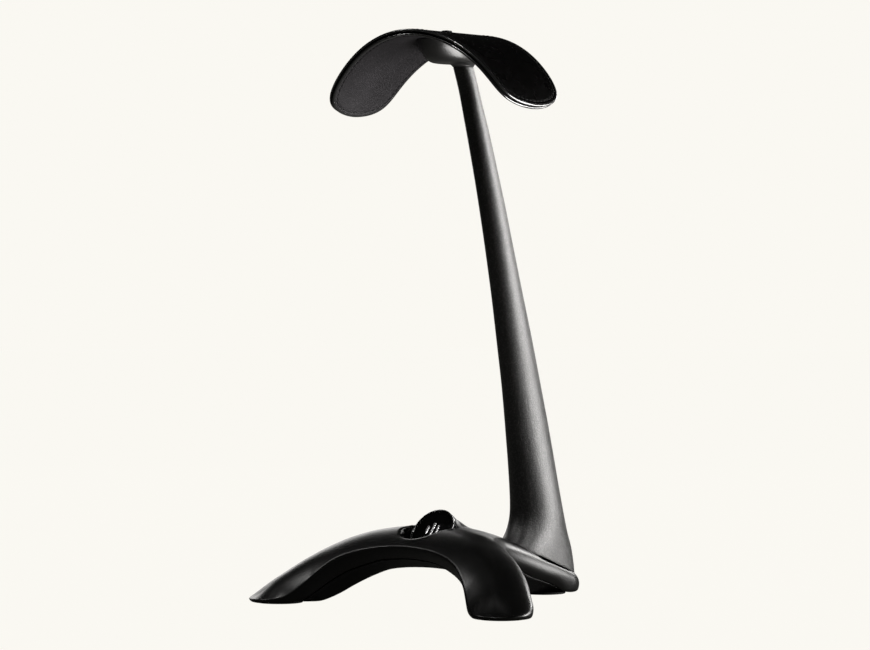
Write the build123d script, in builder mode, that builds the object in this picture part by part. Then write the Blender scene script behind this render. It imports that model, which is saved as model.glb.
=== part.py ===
# Headphone stand: three-legged base, leaning mast, saddle bracket and bent leather saddle.
# Millimetres. X left-right (the object is symmetric about X = 0), +Y to the rear, +Z up.
import math
import os
from build123d import *

os.makedirs("parts", exist_ok=True)

# ------------------------------------------------------------------ driving dimensions
REAR = -66.5            # shift of the layout along Y that centres the footprint on the origin

# front arch: spine in plan, from the left toe to the hub (x, y before the shift)
SPINE = [(-77.6, -6.0), (-67.4, 3.9), (-53.9, 15.8), (-38.2, 24.9), (-18.5, 32.2), (0.0, 34.6)]
TOE = 14.2              # foot centre to toe tip, along the spine
HUB = 75.8              # foot centre to hub centre, along the spine
# (distance from the foot centre, value): heights and half widths of the arch section
CROWN_Z = [(-14.2, 3.2), (-11, 5.7), (-8, 7.6), (-4, 10.1), (3, 14.5), (14, 21.5), (25, 27.35),
           (36, 31.9), (48, 35.2), (59, 36.9), (66, 37.5), (75.8, 37.9)]
FRONT_W = [(-14.2, 1.4), (-13.6, 5.0), (-12, 9.0), (-10, 11.6), (-7, 13.6), (-3, 14.7),
           (0, 15.0), (18, 15.0), (27, 15.2), (36, 15.8), (46, 16.8), (57, 18.2), (75.8, 19.4)]
REAR_W = [(-14.2, 1.4), (-13.6, 4.6), (-12, 8.3), (-10, 11.0), (-7, 13.2), (-3, 14.5),
          (0, 15.0), (18, 15.3), (30, 16.0), (42, 18.0), (52, 21.0), (62, 24.8), (70, 27.4), (75.8, 28.0)]
FRONT_Z = [(-14.2, 1.6), (-12, 1.9), (-7, 2.3), (0, 3.2), (4, 5.0), (9, 8.5), (14, 12.0), (18, 14.8),
           (22, 17.6), (27, 20.8), (36, 24.4), (46, 26.8), (57, 28.3), (75.8, 29.2)]
REAR_Z = [(-14.2, 1.6), (-12, 2.2), (-7, 3.2), (0, 5.6), (9, 9.8), (18, 14.0), (27, 17.8),
          (36, 20.8), (46, 23.4), (57, 25.2), (75.8, 26.5)]
SEAM_Z = [(-14.2, 0.5), (-3, 0.5), (5, 0.9), (12, 2.6), (18, 6.0), (27, 11.6), (36, 16.2),
          (46, 19.6), (57, 22.2), (75.8, 23.2)]
BELLY_Z = [(-14.2, 0.25), (15, 0.25), (19.4, 0.4), (22, 1.2), (29, 4.3), (36, 8.4), (47, 13.8),
           (55, 16.6), (67, 17.8), (75.8, 18.0)]
TUCK = [(-14.2, 0.3), (-12, 0.8), (12, 1.2), (24, 1.8), (75.8, 2.0)]
# rear leg: (y before the shift, value)
LEG_W = [(40, 26), (50, 24), (60, 20.6), (70, 17.6), (80, 15.6), (90, 14.6), (100, 14.2),
         (120, 14.0), (128, 13.6), (134, 12.3), (138, 10.2), (142, 6.6), (144, 3.4), (144.6, 1.2)]
LEG_TOP = [(40, 37.4), (56, 36.2), (64, 34.9), (73, 33.0), (81, 31.0), (89, 28.7), (100, 25.2),
           (110, 22.0), (120, 18.8), (130, 15.3), (137, 12.2), (141, 9.6), (143.2, 7.4), (144.5, 5.2)]
LEG_SIDE = [(40, 26), (64, 25), (80, 21), (90, 18), (100, 15), (110, 12), (120, 9.5),
            (130, 6.6), (137, 4.8), (144.5, 3.6)]
LEG_SEAM = [(40, 22.8), (64, 19.6), (80, 15.5), (94, 12.0), (98, 10.6), (110, 7.2), (116, 5.4),
            (126, 1.2), (132, 0.5), (144.5, 0.5)]
LEG_BELLY = [(40, 17.2), (60, 15.8), (70, 13.3), (80, 9.0), (90, 3.6), (96, 0.5), (100, 0.25),
             (144.5, 0.25)]
SEAM_GAP = 0.3          # visible joint between the shell and the lower cover
WALL = 3.0              # shell wall over the ballast pockets

PAD_T = 0.9             # rubber foot pad thickness
PAD_R = 11.2            # pad radius, front feet
FOOT = (67.4, 3.9)      # front foot centre

# mast: (z, centre y, half width in x, half depth in y)
MAST = [(256.6, 60.5, 4.7, 5.3), (245.9, 64.7, 4.8, 5.1), (236.4, 68.0, 4.9, 5.6),
        (223.1, 72.6, 5.1, 6.3), (203.9, 78.7, 5.35, 7.0), (194.3, 81.7, 5.5, 7.5),
        (174.9, 87.2, 5.85, 8.2), (165.2, 89.9, 6.0, 8.7), (145.7, 95.2, 6.35, 9.8),
        (135.9, 97.8, 6.6, 10.5), (116.2, 102.8, 7.15, 11.7), (106.4, 105.2, 7.4, 12.2),
        (86.6, 109.7, 8.25, 13.4), (76.6, 111.8, 8.7, 14.0), (66.7, 113.8, 9.35, 14.3),
        (56.8, 115.7, 10.1, 14.6), (46.8, 117.5, 10.9, 15.1), (39.8, 118.5, 11.4, 16.0),
        (35.9, 118.7, 11.6, 17.2), (32.9, 118.5, 11.75, 18.5), (29.9, 118.1, 11.9, 20.1),
        (27.0, 117.2, 12.05, 22.2), (24.0, 116.7, 12.1, 24.0), (20.0, 116.7, 12.1, 24.9),
        (14.0, 117.0, 12.1, 25.3), (9.0, 117.2, 12.1, 25.5), (5.0, 117.2, 12.1, 25.5)]
FOOT_OVAL = (117.1, 12.1, 25.5)     # mast foot: centre y, half width, half depth
SEAT_Y = 116.0          # seat plane of the mast on the rear leg: point and slope
SEAT_Z = 16.4
SEAT_SLOPE = 0.328
MAST_GAP = 0.7          # open joint round the mast foot
SHADOW_GAP = 1.0        # open joint line between mast foot and base
GASKET_IN = 1.4         # gasket set back from the mast edge
MAST_SCREW_Y = (108.0, 127.0)
M5_R = 2.5
M5_HEAD_R = 4.25

# saddle: bent sheet, top face centre line
SADDLE_R = 59.772       # mean bending radius
SADDLE_TURN = math.radians(69.071)
SADDLE_EASE = 0.1181     # straightening toward the tips
SADDLE_TOP = 272.246
SADDLE_Y = 44.347
SADDLE_MID = 27.633      # half depth at the crown
SADDLE_LOBE = 22.718     # half depth at the lobes
LEATHER = 1.15          # cover and lining thickness
PLATE = 0.9             # stiffener between them
PLATE_IN = 1.3          # stiffener set back, leaves the dark groove round the edge

TAB = (4.2, 4.6)        # small tab on the crown: size and place
TAB_Y = 47.9

# badge on the hub
BADGE = (0.0, 36.9, 36.0)
BADGE_R = 11.7
BADGE_TILT = 54.0       # face leaned back from horizontal
WELL_R = 12.5
RING_DEPTH = 0.6        # well floor round the badge, below its face
# faired hump behind the badge: (y, z, radius, lean of the section)
HUMP = [(51.5, 32.3, 7.6, 0.42), (66.0, 30.2, 4.2, 0.0), (76.0, 28.0, 2.4, 0.0)]


# ------------------------------------------------------------------ small helpers
def blend(table, at, flat_end=True):
    """Smooth monotone interpolation in a (position, value) list."""
    xs = [p[0] for p in table]
    ys = [p[1] for p in table]
    at = min(max(at, xs[0]), xs[-1])
    n = len(xs)
    d = [(ys[i + 1] - ys[i]) / (xs[i + 1] - xs[i]) for i in range(n - 1)]
    m = [d[0]] + [0.0] * (n - 2) + [0.0 if flat_end else d[-1]]
    for i in range(1, n - 1):
        if d[i - 1] * d[i] > 0:
            h0 = xs[i] - xs[i - 1]
            h1 = xs[i + 1] - xs[i]
            w0 = 2 * h1 + h0
            w1 = h1 + 2 * h0
            m[i] = (w0 + w1) / (w0 / d[i - 1] + w1 / d[i])
    i = 0
    while i < n - 2 and at > xs[i + 1]:
        i += 1
    h = xs[i + 1] - xs[i]
    t = (at - xs[i]) / h
    a = (1 + 2 * t) * (1 - t) ** 2 * ys[i]
    b = t * (1 - t) ** 2 * h * m[i]
    c = t * t * (3 - 2 * t) * ys[i + 1]
    e = t * t * (t - 1) * h * m[i + 1]
    return a + b + c + e


def curve(pts, par):
    """Interpolated curve with a fixed parameter per point, so all sections match."""
    add(Edge.make_spline([Vector(x, z) for x, z in pts], parameters=par))


with BuildLine() as spine:
    left_pts = [(x, y + REAR) for x, y in SPINE]
    right_pts = [(-x, y) for x, y in reversed(left_pts[:-1])]
    Spline(*(left_pts + right_pts))
SPINE_EDGE = spine.line.edges()[0]
SPINE_LEN = SPINE_EDGE.length
HALF = SPINE_LEN / 2


def station(s):
    """Section plane of the arch; s from -HALF (left toe) over 0 (hub) to +HALF."""
    u = 0.5 + s / SPINE_LEN
    p = SPINE_EDGE.position_at(u)
    t = SPINE_EDGE.tangent_at(u)
    return Plane(origin=(p.X, p.Y, 0), x_dir=(t.Y, -t.X, 0), z_dir=(-t.X, -t.Y, 0))


def along(s):
    """Distance from the foot centre for an arch position s."""
    return HUB - abs(s) * (HUB + TOE) / HALF


def s_of(a):
    """Arch position (left side) for a distance from the foot centre."""
    return -(HUB - a) * HALF / (HUB + TOE)


def arch_top(s, inset=0.0, lift=0.0):
    """Closed upper section of the arch: crown, seam line and front side."""
    a = along(s)
    fw = blend(FRONT_W, a) - inset
    rw = blend(REAR_W, a) - inset
    cz = blend(CROWN_Z, a) - inset
    sz = blend(SEAM_Z, a) + lift
    fz = max(min(blend(FRONT_Z, a), cz - 0.3), sz + 0.3)
    rz = max(min(blend(REAR_Z, a), cz - 0.3), sz + 0.3)
    k = blend(TUCK, a)
    pts = [(fw, fz), (0.72 * fw, fz + (cz - fz) * 0.482), (0.4 * fw, fz + (cz - fz) * 0.84),
           (0.0, cz), (-0.42 * rw, rz + (cz - rz) * 0.937), (-0.75 * rw, rz + (cz - rz) * 0.72),
           (-0.94 * rw, rz + (cz - rz) * 0.40), (-rw, rz), (-rw + 0.3 * k, rz + 0.6 * (sz - rz)),
           (-rw + k, sz)]
    curve(pts, [0.0, 0.12, 0.24, 0.38, 0.54, 0.68, 0.79, 0.89, 0.95, 1.0])
    Line((-rw + k, sz), (fw - k, sz))
    Line((fw - k, sz), (fw, fz))


def arch_belly(s):
    """Closed lower section of the arch, under the seam."""
    a = along(s)
    k = blend(TUCK, a) + 0.15
    x1 = blend(FRONT_W, a) - k
    x0 = k - blend(REAR_W, a)
    z1 = blend(SEAM_Z, a) - SEAM_GAP
    dz = z1 - blend(BELLY_Z, a)
    w = x1 - x0
    pts = [(x0, z1), (x0 + 0.07 * w, z1 - 0.30 * dz), (x0 + 0.22 * w, z1 - 0.68 * dz),
           (x0 + 0.5 * w, z1 - dz), (x0 + 0.78 * w, z1 - 0.68 * dz), (x0 + 0.93 * w, z1 - 0.30 * dz),
           (x1, z1)]
    curve(pts, [0.0, 0.14, 0.3, 0.5, 0.7, 0.86, 1.0])
    Line((x1, z1), (x0, z1))


def leg_plane(y):
    return Plane(origin=(0, y + REAR, 0), x_dir=(1, 0, 0), z_dir=(0, -1, 0))


def leg_top(y, lift=0.0, grow=0.0, floor=None):
    """Closed upper section of the rear leg."""
    w = blend(LEG_W, y, False) + grow
    tz = blend(LEG_TOP, y, False) + lift
    rz = blend(LEG_SIDE, y, False) + lift
    sz = blend(LEG_SEAM, y, False) if floor is None else floor
    k = min(2.2, 0.3 * w)
    half = [(w - k, sz), (w - 0.3 * k, rz + 0.6 * (sz - rz)), (w, rz), (0.94 * w, rz + 0.40 * (tz - rz)),
            (0.75 * w, rz + 0.72 * (tz - rz)), (0.42 * w, rz + 0.937 * (tz - rz))]
    pts = half + [(0, tz)] + [(-x, z) for x, z in reversed(half)]
    curve(pts, [0.0, 0.05, 0.11, 0.21, 0.31, 0.42, 0.5, 0.58, 0.69, 0.79, 0.89, 0.95, 1.0])
    Line((k - w, sz), (w - k, sz))


def leg_belly(y):
    """Closed lower section of the rear leg."""
    w = blend(LEG_W, y, False)
    k = min(2.2, 0.3 * w) + 0.15
    w = w - k
    z1 = blend(LEG_SEAM, y, False) - SEAM_GAP
    dz = z1 - blend(LEG_BELLY, y, False)
    pts = [(-w, z1), (-0.86 * w, z1 - 0.30 * dz), (-0.56 * w, z1 - 0.68 * dz), (0, z1 - dz),
           (0.56 * w, z1 - 0.68 * dz), (0.86 * w, z1 - 0.30 * dz), (w, z1)]
    curve(pts, [0.0, 0.14, 0.3, 0.5, 0.7, 0.86, 1.0])
    Line((w, z1), (-w, z1))


STEPS = [-1.0, -0.9935, -0.976, -0.953, -0.921, -0.885, -0.84, -0.79, -0.73, -0.66, -0.59, -0.51,
         -0.42, -0.32, -0.21, -0.10]
ARCH_AT = [v * HALF for v in STEPS] + [0.0] + [-v * HALF for v in reversed(STEPS)]
LEG_AT = [42, 48, 55, 62, 69, 76, 83, 90, 97, 104, 111, 118, 124, 129, 133, 136.5, 139.2, 141.2, 142.8, 143.9, 144.5]

POCKET_A = [9.5, 13, 18, 23, 28]        # ballast pocket stations, from the foot centre
BALLAST_A = [10, 13, 18, 23, 27.5]

HUB_SCREW = (17.5, 36.0)
LEG_SCREW_A = 38.0
REAR_SCREW_Y = 76.0
leg_at = SPINE_EDGE.position_at(0.5 + s_of(LEG_SCREW_A) / SPINE_LEN)
# cover screws: x, y, underside of the cover there, seam height there
COVER_SCREWS = [(leg_at.X, leg_at.Y, 10.6, 17.1), (-leg_at.X, leg_at.Y, 10.6, 17.1),
                (-HUB_SCREW[0], HUB_SCREW[1] + REAR, 18.4, 23.0),
                (HUB_SCREW[0], HUB_SCREW[1] + REAR, 18.4, 23.0),
                (0.0, REAR_SCREW_Y + REAR, 10.9, 16.7)]
HEAD_UP = 0.9           # cover screw head sunk above the cover underside
MAST_SCREWS = [(MAST_SCREW_Y[0] + REAR, 12.0), (MAST_SCREW_Y[1] + REAR, 7.0)]
MAST_SCREW_LEN = 24.0

tilt = math.radians(BADGE_TILT)
BADGE_N = (0.0, -math.sin(tilt), math.cos(tilt))
BADGE_O = (BADGE[0], BADGE[1] + REAR, BADGE[2])
BADGE_PLANE = Plane(origin=BADGE_O, x_dir=(1, 0, 0), z_dir=BADGE_N)


def badge_at(depth):
    """Plane parallel to the badge face, depth below it."""
    return Plane(origin=BADGE_PLANE.from_local_coords((0, 0, -depth)), x_dir=(1, 0, 0), z_dir=BADGE_N)


# ------------------------------------------------------------------ base
with BuildPart() as rear_leg:
    for y in LEG_AT:
        with BuildSketch(leg_plane(y)):
            with BuildLine():
                leg_top(y)
            make_face()
    loft()

SEAT = Plane(origin=(0, SEAT_Y + REAR, SEAT_Z), x_dir=(1, 0, 0), z_dir=(0, SEAT_SLOPE, 1))
SEAT_LOW = SEAT.offset(-SHADOW_GAP)

with BuildPart() as seat_pocket:
    with BuildSketch(Plane(origin=(0, FOOT_OVAL[0] + REAR, 0))):
        Ellipse(FOOT_OVAL[1] + MAST_GAP, FOOT_OVAL[2] + MAST_GAP)
    extrude(amount=45)
    split(bisect_by=SEAT_LOW, keep=Keep.TOP)

with BuildPart() as base_shell:
    for s in ARCH_AT:
        with BuildSketch(station(s)):
            with BuildLine():
                arch_top(s)
            make_face()
    loft()
    add(rear_leg.part)
    add(seat_pocket.part, mode=Mode.SUBTRACT)
    # faired hump behind the badge
    with BuildSketch(badge_at(RING_DEPTH)):
        Circle(WELL_R)
    for y, z, r, lean in HUMP:
        with BuildSketch(Plane(origin=(0, y + REAR, z), x_dir=(1, 0, 0), z_dir=(0, -1, lean))):
            Circle(r)
    loft()
    # round well in front of the badge
    with BuildSketch(badge_at(RING_DEPTH)):
        Circle(WELL_R)
    extrude(amount=30, mode=Mode.SUBTRACT)
    # seat of the badge
    with BuildSketch(badge_at(3.0)):
        Circle(BADGE_R + 0.1)
    extrude(amount=10, mode=Mode.SUBTRACT)
    # ballast pockets in both front legs, open to the seam
    for side in (1, -1):
        for a in POCKET_A:
            with BuildSketch(station(side * s_of(a))):
                with BuildLine():
                    arch_top(side * s_of(a), WALL, -0.4)
                make_face()
        loft(mode=Mode.SUBTRACT)
    # foot pad recesses
    for side in (1, -1):
        with BuildSketch(Plane.XY):
            with Locations((side * FOOT[0], FOOT[1] + REAR)):
                Circle(PAD_R + 0.1)
        extrude(amount=PAD_T + 0.05, mode=Mode.SUBTRACT)
    with BuildSketch(Plane.XY):
        with Locations((0, 123.5 + REAR)):
            Circle(PAD_R + 0.1)
    extrude(amount=PAD_T + 0.05, mode=Mode.SUBTRACT)
    # cover screw inserts
    for x, y, belly, seam in COVER_SCREWS:
        with BuildSketch(Plane.XY.offset(seam - 1.5)):
            with Locations((x, y)):
                Circle(2.05)
        extrude(amount=7.6, mode=Mode.SUBTRACT)
    # mast screws: clearance hole and counterbore
    for y, ceil in MAST_SCREWS:
        with BuildSketch(Plane.XY):
            with Locations((0, y)):
                Circle(5.3)
        extrude(amount=ceil, mode=Mode.SUBTRACT)
        with BuildSketch(Plane.XY):
            with Locations((0, y)):
                Circle(M5_R + 0.2)
        extrude(amount=40, mode=Mode.SUBTRACT)

with BuildPart() as base_cover:
    a_first = 8.5
    cover_at = [s_of(a) for a in (a_first, 11, 15, 20, 26, 33, 41, 50, 62)]
    for s in cover_at + [0.0] + [-v for v in reversed(cover_at)]:
        with BuildSketch(station(s)):
            with BuildLine():
                arch_belly(s)
            make_face()
    loft()
    for y in (42, 50, 58, 66, 74, 82, 90, 97, 104, 111, 117, 121.5):
        with BuildSketch(leg_plane(y)):
            with BuildLine():
                leg_belly(y)
            make_face()
    loft()
    add(rear_leg.part.moved(Location((0, 0, -SEAM_GAP))), mode=Mode.SUBTRACT)
    add(base_shell.part, mode=Mode.SUBTRACT)
    for x, y, belly, seam in COVER_SCREWS:
        with BuildSketch(Plane.XY):
            with Locations((x, y)):
                Circle(3.3)
        extrude(amount=belly + HEAD_UP + 2.05, mode=Mode.SUBTRACT)
        with BuildSketch(Plane.XY):
            with Locations((x, y)):
                Circle(1.7)
        extrude(amount=40, mode=Mode.SUBTRACT)
    for y, ceil in MAST_SCREWS:
        with BuildSketch(Plane.XY):
            with Locations((0, y)):
                Circle(5.6)
        extrude(amount=40, mode=Mode.SUBTRACT)
    for side in (1, -1):
        with BuildSketch(Plane.XY):
            with Locations((side * FOOT[0], FOOT[1] + REAR)):
                Circle(PAD_R + 0.1)
        extrude(amount=PAD_T + 0.05, mode=Mode.SUBTRACT)
    with BuildSketch(Plane.XY):
        with Locations((0, 123.5 + REAR)):
            Circle(PAD_R + 0.1)
    extrude(amount=PAD_T + 0.05, mode=Mode.SUBTRACT)



# ------------------------------------------------------------------ feet, ballast and base fixings
with BuildPart() as foot_left:
    with BuildSketch(Plane.XY):
        with Locations((-FOOT[0], FOOT[1] + REAR)):
            Circle(PAD_R)
    extrude(amount=PAD_T)
    fillet(foot_left.faces().sort_by(Axis.Z)[0].edges(), 0.4)

with BuildPart() as foot_right:
    with BuildSketch(Plane.XY):
        with Locations((FOOT[0], FOOT[1] + REAR)):
            Circle(PAD_R)
    extrude(amount=PAD_T)
    fillet(foot_right.faces().sort_by(Axis.Z)[0].edges(), 0.4)

with BuildPart() as foot_rear:
    with BuildSketch(Plane.XY):
        with Locations((0, 123.5 + REAR)):
            Circle(PAD_R)
    extrude(amount=PAD_T)
    fillet(foot_rear.faces().sort_by(Axis.Z)[0].edges(), 0.4)

with BuildPart() as ballast_left:
    for a in BALLAST_A:
        with BuildSketch(station(s_of(a))):
            with BuildLine():
                arch_top(s_of(a), WALL + 0.35, 0.1)
            make_face()
    loft()

with BuildPart() as ballast_right:
    for a in BALLAST_A:
        with BuildSketch(station(-s_of(a))):
            with BuildLine():
                arch_top(-s_of(a), WALL + 0.35, 0.1)
            make_face()
    loft()

with BuildPart() as cover_inserts:
    for x, y, belly, seam in COVER_SCREWS:
        with BuildSketch(Plane.XY.offset(seam + 0.4)):
            with Locations((x, y)):
                Circle(2.0)
                Circle(1.55, mode=Mode.SUBTRACT)
        extrude(amount=5.0)

with BuildPart() as cover_screws:
    for x, y, belly, seam in COVER_SCREWS:
        with BuildSketch(Plane.XY.offset(belly + HEAD_UP)):
            with Locations((x, y)):
                Circle(2.75)
        extrude(amount=2.0)
        with BuildSketch(Plane.XY.offset(belly + HEAD_UP)):
            with Locations((x, y)):
                RegularPolygon(1.25, 6)
        extrude(amount=1.2, mode=Mode.SUBTRACT)
        with BuildSketch(Plane.XY.offset(belly + HEAD_UP + 1.9)):
            with Locations((x, y)):
                Circle(1.5)
        extrude(amount=seam + 5.2 - belly - HEAD_UP - 1.9)

with BuildPart() as mast_screws:
    for y, ceil in MAST_SCREWS:
        with BuildSketch(Plane.XY.offset(ceil - 3.95)):
            with Locations((0, y)):
                Circle(M5_HEAD_R)
        extrude(amount=3.0)
        with BuildSketch(Plane.XY.offset(ceil - 3.95)):
            with Locations((0, y)):
                RegularPolygon(2.3, 6)
        extrude(amount=1.9, mode=Mode.SUBTRACT)
        with BuildSketch(Plane.XY.offset(ceil - 1.0)):
            with Locations((0, y)):
                Circle(M5_R)
        extrude(amount=MAST_SCREW_LEN)

with BuildPart() as mast_washers:
    for y, ceil in MAST_SCREWS:
        with BuildSketch(Plane.XY.offset(ceil - 0.9)):
            with Locations((0, y)):
                Circle(5.0)
                Circle(M5_R + 0.1, mode=Mode.SUBTRACT)
        extrude(amount=0.85)

# ------------------------------------------------------------------ mast
with BuildPart() as mast:
    for z, y, a, b in MAST:
        with BuildSketch(Plane(origin=(0, y + REAR, z))):
            Ellipse(a, b)
    loft()
    split(bisect_by=SEAT, keep=Keep.TOP)
    for y, ceil in MAST_SCREWS:
        with BuildSketch(Plane.XY.offset(2.0)):
            with Locations((0, y)):
                Circle(M5_R + 0.05)
        extrude(amount=ceil + MAST_SCREW_LEN - 1.0 + 1.5 - 2.0, mode=Mode.SUBTRACT)
    # tapped hole of the bracket screw, along the mast
    with BuildSketch(Plane(origin=(0, 60.5 + REAR, 256.6), x_dir=(1, 0, 0), z_dir=(0, -0.365, 0.931))):
        Circle(2.05)
    extrude(amount=15, both=True, mode=Mode.SUBTRACT)

with BuildPart() as mast_gasket:
    with BuildSketch(Plane(origin=(0, FOOT_OVAL[0] + REAR, 0))):
        Ellipse(FOOT_OVAL[1] - GASKET_IN, FOOT_OVAL[2] - GASKET_IN)
    extrude(amount=40)
    split(bisect_by=SEAT.offset(-0.05), keep=Keep.BOTTOM)
    split(bisect_by=SEAT_LOW.offset(0.05), keep=Keep.TOP)
    for y, ceil in MAST_SCREWS:
        with BuildSketch(Plane.XY):
            with Locations((0, y)):
                Circle(M5_R + 0.2)
        extrude(amount=40, mode=Mode.SUBTRACT)

# ------------------------------------------------------------------ saddle
def turn(u):
    """Tangent angle of the saddle at u in -1..1."""
    return SADDLE_TURN * u - SADDLE_EASE * u ** 3


ARC = SADDLE_R * SADDLE_TURN    # half the sheet length


def on_arc(u):
    """Point of the top face centre line at u."""
    n = 40
    x = 0.0
    z = SADDLE_TOP
    for i in range(n):
        m = turn(u * (i + 0.5) / n)
        x += math.cos(m) * ARC * u / n
        z -= math.sin(m) * ARC * u / n
    return x, z


def half_depth(u):
    """Half width of the sheet (along Y) at u."""
    t = min(abs(u) / 0.9867, 1.0)
    g = t * t * (3 - 2 * t)
    return (SADDLE_MID + (SADDLE_LOBE - SADDLE_MID) * g) * (1 - abs(u) ** 14) ** (1 / 1.816)


BLADE_U = [0.9985, 0.992, 0.98, 0.96, 0.93, 0.89, 0.83, 0.74, 0.62, 0.48, 0.32, 0.16]


PLATE_SCREW_Y = (38.0, 50.0)
PLATE_SCREW_Z = SADDLE_TOP - LEATHER - 0.02 - PLATE
BLADE_AT = [-v for v in BLADE_U] + [0.0] + list(reversed(BLADE_U))


def blade_plane(u, inset):
    """Section plane across the sheet; local x along Y, local y out of the top face."""
    v = u * (1 - inset / ARC)
    x, z = on_arc(v)
    m = turn(v)
    return Plane(origin=(x, SADDLE_Y + REAR, z), x_dir=(0, 1, 0), z_dir=(math.cos(m), 0, -math.sin(m)))


def blade_width(u, inset):
    return 2 * max(half_depth(u) - inset, 0.6)


with BuildPart() as saddle_cover:
    for u in BLADE_AT:
        with BuildSketch(blade_plane(u, 0.0)):
            with Locations((0, -LEATHER / 2)):
                Rectangle(blade_width(u, 0.0), LEATHER)
    loft()

with BuildPart() as saddle_plate:
    for u in BLADE_AT:
        with BuildSketch(blade_plane(u, PLATE_IN)):
            with Locations((0, -(LEATHER + 0.02 + PLATE / 2))):
                Rectangle(blade_width(u, PLATE_IN), PLATE)
    loft()
    with Locations(*[(0, y + REAR, PLATE_SCREW_Z) for y in PLATE_SCREW_Y]):
        Cone(1.6, 2.75, 1.0, align=(Align.CENTER, Align.CENTER, Align.MIN), mode=Mode.SUBTRACT)
        Cylinder(1.6, 4.0, mode=Mode.SUBTRACT)

with BuildPart() as saddle_lining:
    for u in BLADE_AT:
        with BuildSketch(blade_plane(u, 0.0)):
            with Locations((0, -(LEATHER + PLATE + 0.04 + LEATHER / 2))):
                Rectangle(blade_width(u, 0.0), LEATHER)
    loft()
    with Locations(*[(0, y + REAR, PLATE_SCREW_Z) for y in PLATE_SCREW_Y]):
        Cylinder(1.7, 6.0, mode=Mode.SUBTRACT)


# lock stitches set in from the edge, on both faces
STITCH_IN = 2.6
STITCHES = 122
STITCH_LEN = 2.2
THREAD_R = 0.28


def stitch_line():
    """Evenly spaced (u, y) marks along the outline, drawn in by STITCH_IN."""
    loop = []
    n = 720
    for i in range(n + 1):
        q = 2 * math.pi * i / n
        c = math.cos(q)
        u = math.copysign(abs(c) ** 0.7, c)
        side = 1 if i < n // 2 else -1
        h = half_depth(u * 0.9999)
        loop.append((u * (ARC - STITCH_IN), side * max(h - STITCH_IN, 0.0)))
    dist = [0.0]
    for a, b in zip(loop, loop[1:]):
        dist.append(dist[-1] + math.hypot(b[0] - a[0], b[1] - a[1]))
    marks = []
    k = 0
    for j in range(STITCHES):
        d = dist[-1] * (j + 0.5) / STITCHES
        while dist[k + 1] < d:
            k += 1
        f = (d - dist[k]) / (dist[k + 1] - dist[k])
        a, b = loop[k], loop[k + 1]
        marks.append((a[0] + (b[0] - a[0]) * f, a[1] + (b[1] - a[1]) * f,
                      math.atan2(b[1] - a[1], b[0] - a[0])))
    return marks


def stitch_planes(lift):
    """Plane of each stitch, x along the thread, lifted off the top face."""
    planes = []
    for s, y, heading in stitch_line():
        u = s / ARC
        x, z = on_arc(u)
        m = turn(u)
        out = (math.sin(m), 0.0, math.cos(m))
        run = (math.cos(heading) * math.cos(m), math.sin(heading), -math.cos(heading) * math.sin(m))
        origin = (x + out[0] * lift, SADDLE_Y + REAR + y, z + out[2] * lift)
        planes.append(Plane(origin=origin, x_dir=out, z_dir=run))
    return planes


with BuildPart() as stitch_top:
    with Locations(*stitch_planes(THREAD_R + 0.02)):
        Cylinder(THREAD_R, STITCH_LEN)

with BuildPart() as stitch_under:
    with Locations(*stitch_planes(-(2 * LEATHER + PLATE + 0.06 + THREAD_R))):
        Cylinder(THREAD_R, STITCH_LEN)

# small tab on the crown
with BuildPart() as crown_tab:
    with BuildSketch(Plane.XY.offset(SADDLE_TOP - 0.6)):
        with Locations((0, TAB_Y + REAR)):
            RectangleRounded(TAB[0], TAB[1], 1.2)
    extrude(amount=1.6)
    fillet(crown_tab.faces().sort_by(Axis.Z)[-1].edges(), 0.45)
    for u in BLADE_AT:
        with BuildSketch(blade_plane(u, 0.0)):
            with Locations((0, -3.0 + 0.03)):
                Rectangle(blade_width(u, 0.0), 6.0)
    loft(mode=Mode.SUBTRACT)

# ------------------------------------------------------------------ bracket under the saddle
STACK = 2 * LEATHER + PLATE + 0.04
BOWL = [(258.0, 53.4, 8.9, 13.0), (258.5, 53.0, 9.7, 13.9), (259.6, 52.1, 10.6, 15.0),
        (261.2, 51.2, 11.3, 15.8), (264.5, 49.7, 12.4, 16.7), (269.5, 48.5, 13.3, 17.4)]
SPIGOT = Plane(origin=(0, 60.5 + REAR, 256.6), x_dir=(1, 0, 0), z_dir=(0, -0.365, 0.931))

with BuildPart() as saddle_bracket:
    for z, y, a, b in BOWL:
        with BuildSketch(Plane.XY.offset(z)):
            with Locations((0, y + REAR)):
                Ellipse(a, b)
    loft()
    # neck collar down to the mast
    with BuildSketch(Plane.XY.offset(256.75)):
        with Locations((0, 60.45 + REAR)):
            Ellipse(4.75, 5.35)
    extrude(amount=2.0)
    for u in BLADE_AT:
        with BuildSketch(blade_plane(u, 0.0)):
            with Locations((0, -STACK - 0.02 + 6.0)):
                Rectangle(60.0, 12.0)
    loft(mode=Mode.SUBTRACT)
    # bracket screw: clearance hole and head pocket along the mast
    with BuildSketch(Plane(origin=SPIGOT.from_local_coords((0, 0, 5.4)), x_dir=(1, 0, 0), z_dir=SPIGOT.z_dir)):
        Circle(3.8)
    extrude(amount=12, mode=Mode.SUBTRACT)
    with BuildSketch(SPIGOT):
        Circle(2.15)
    extrude(amount=12, both=True, mode=Mode.SUBTRACT)
    for y in PLATE_SCREW_Y:
        with BuildSketch(Plane.XY.offset(260.2)):
            with Locations((0, y + REAR)):
                Circle(1.55)
        extrude(amount=12, mode=Mode.SUBTRACT)

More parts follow.
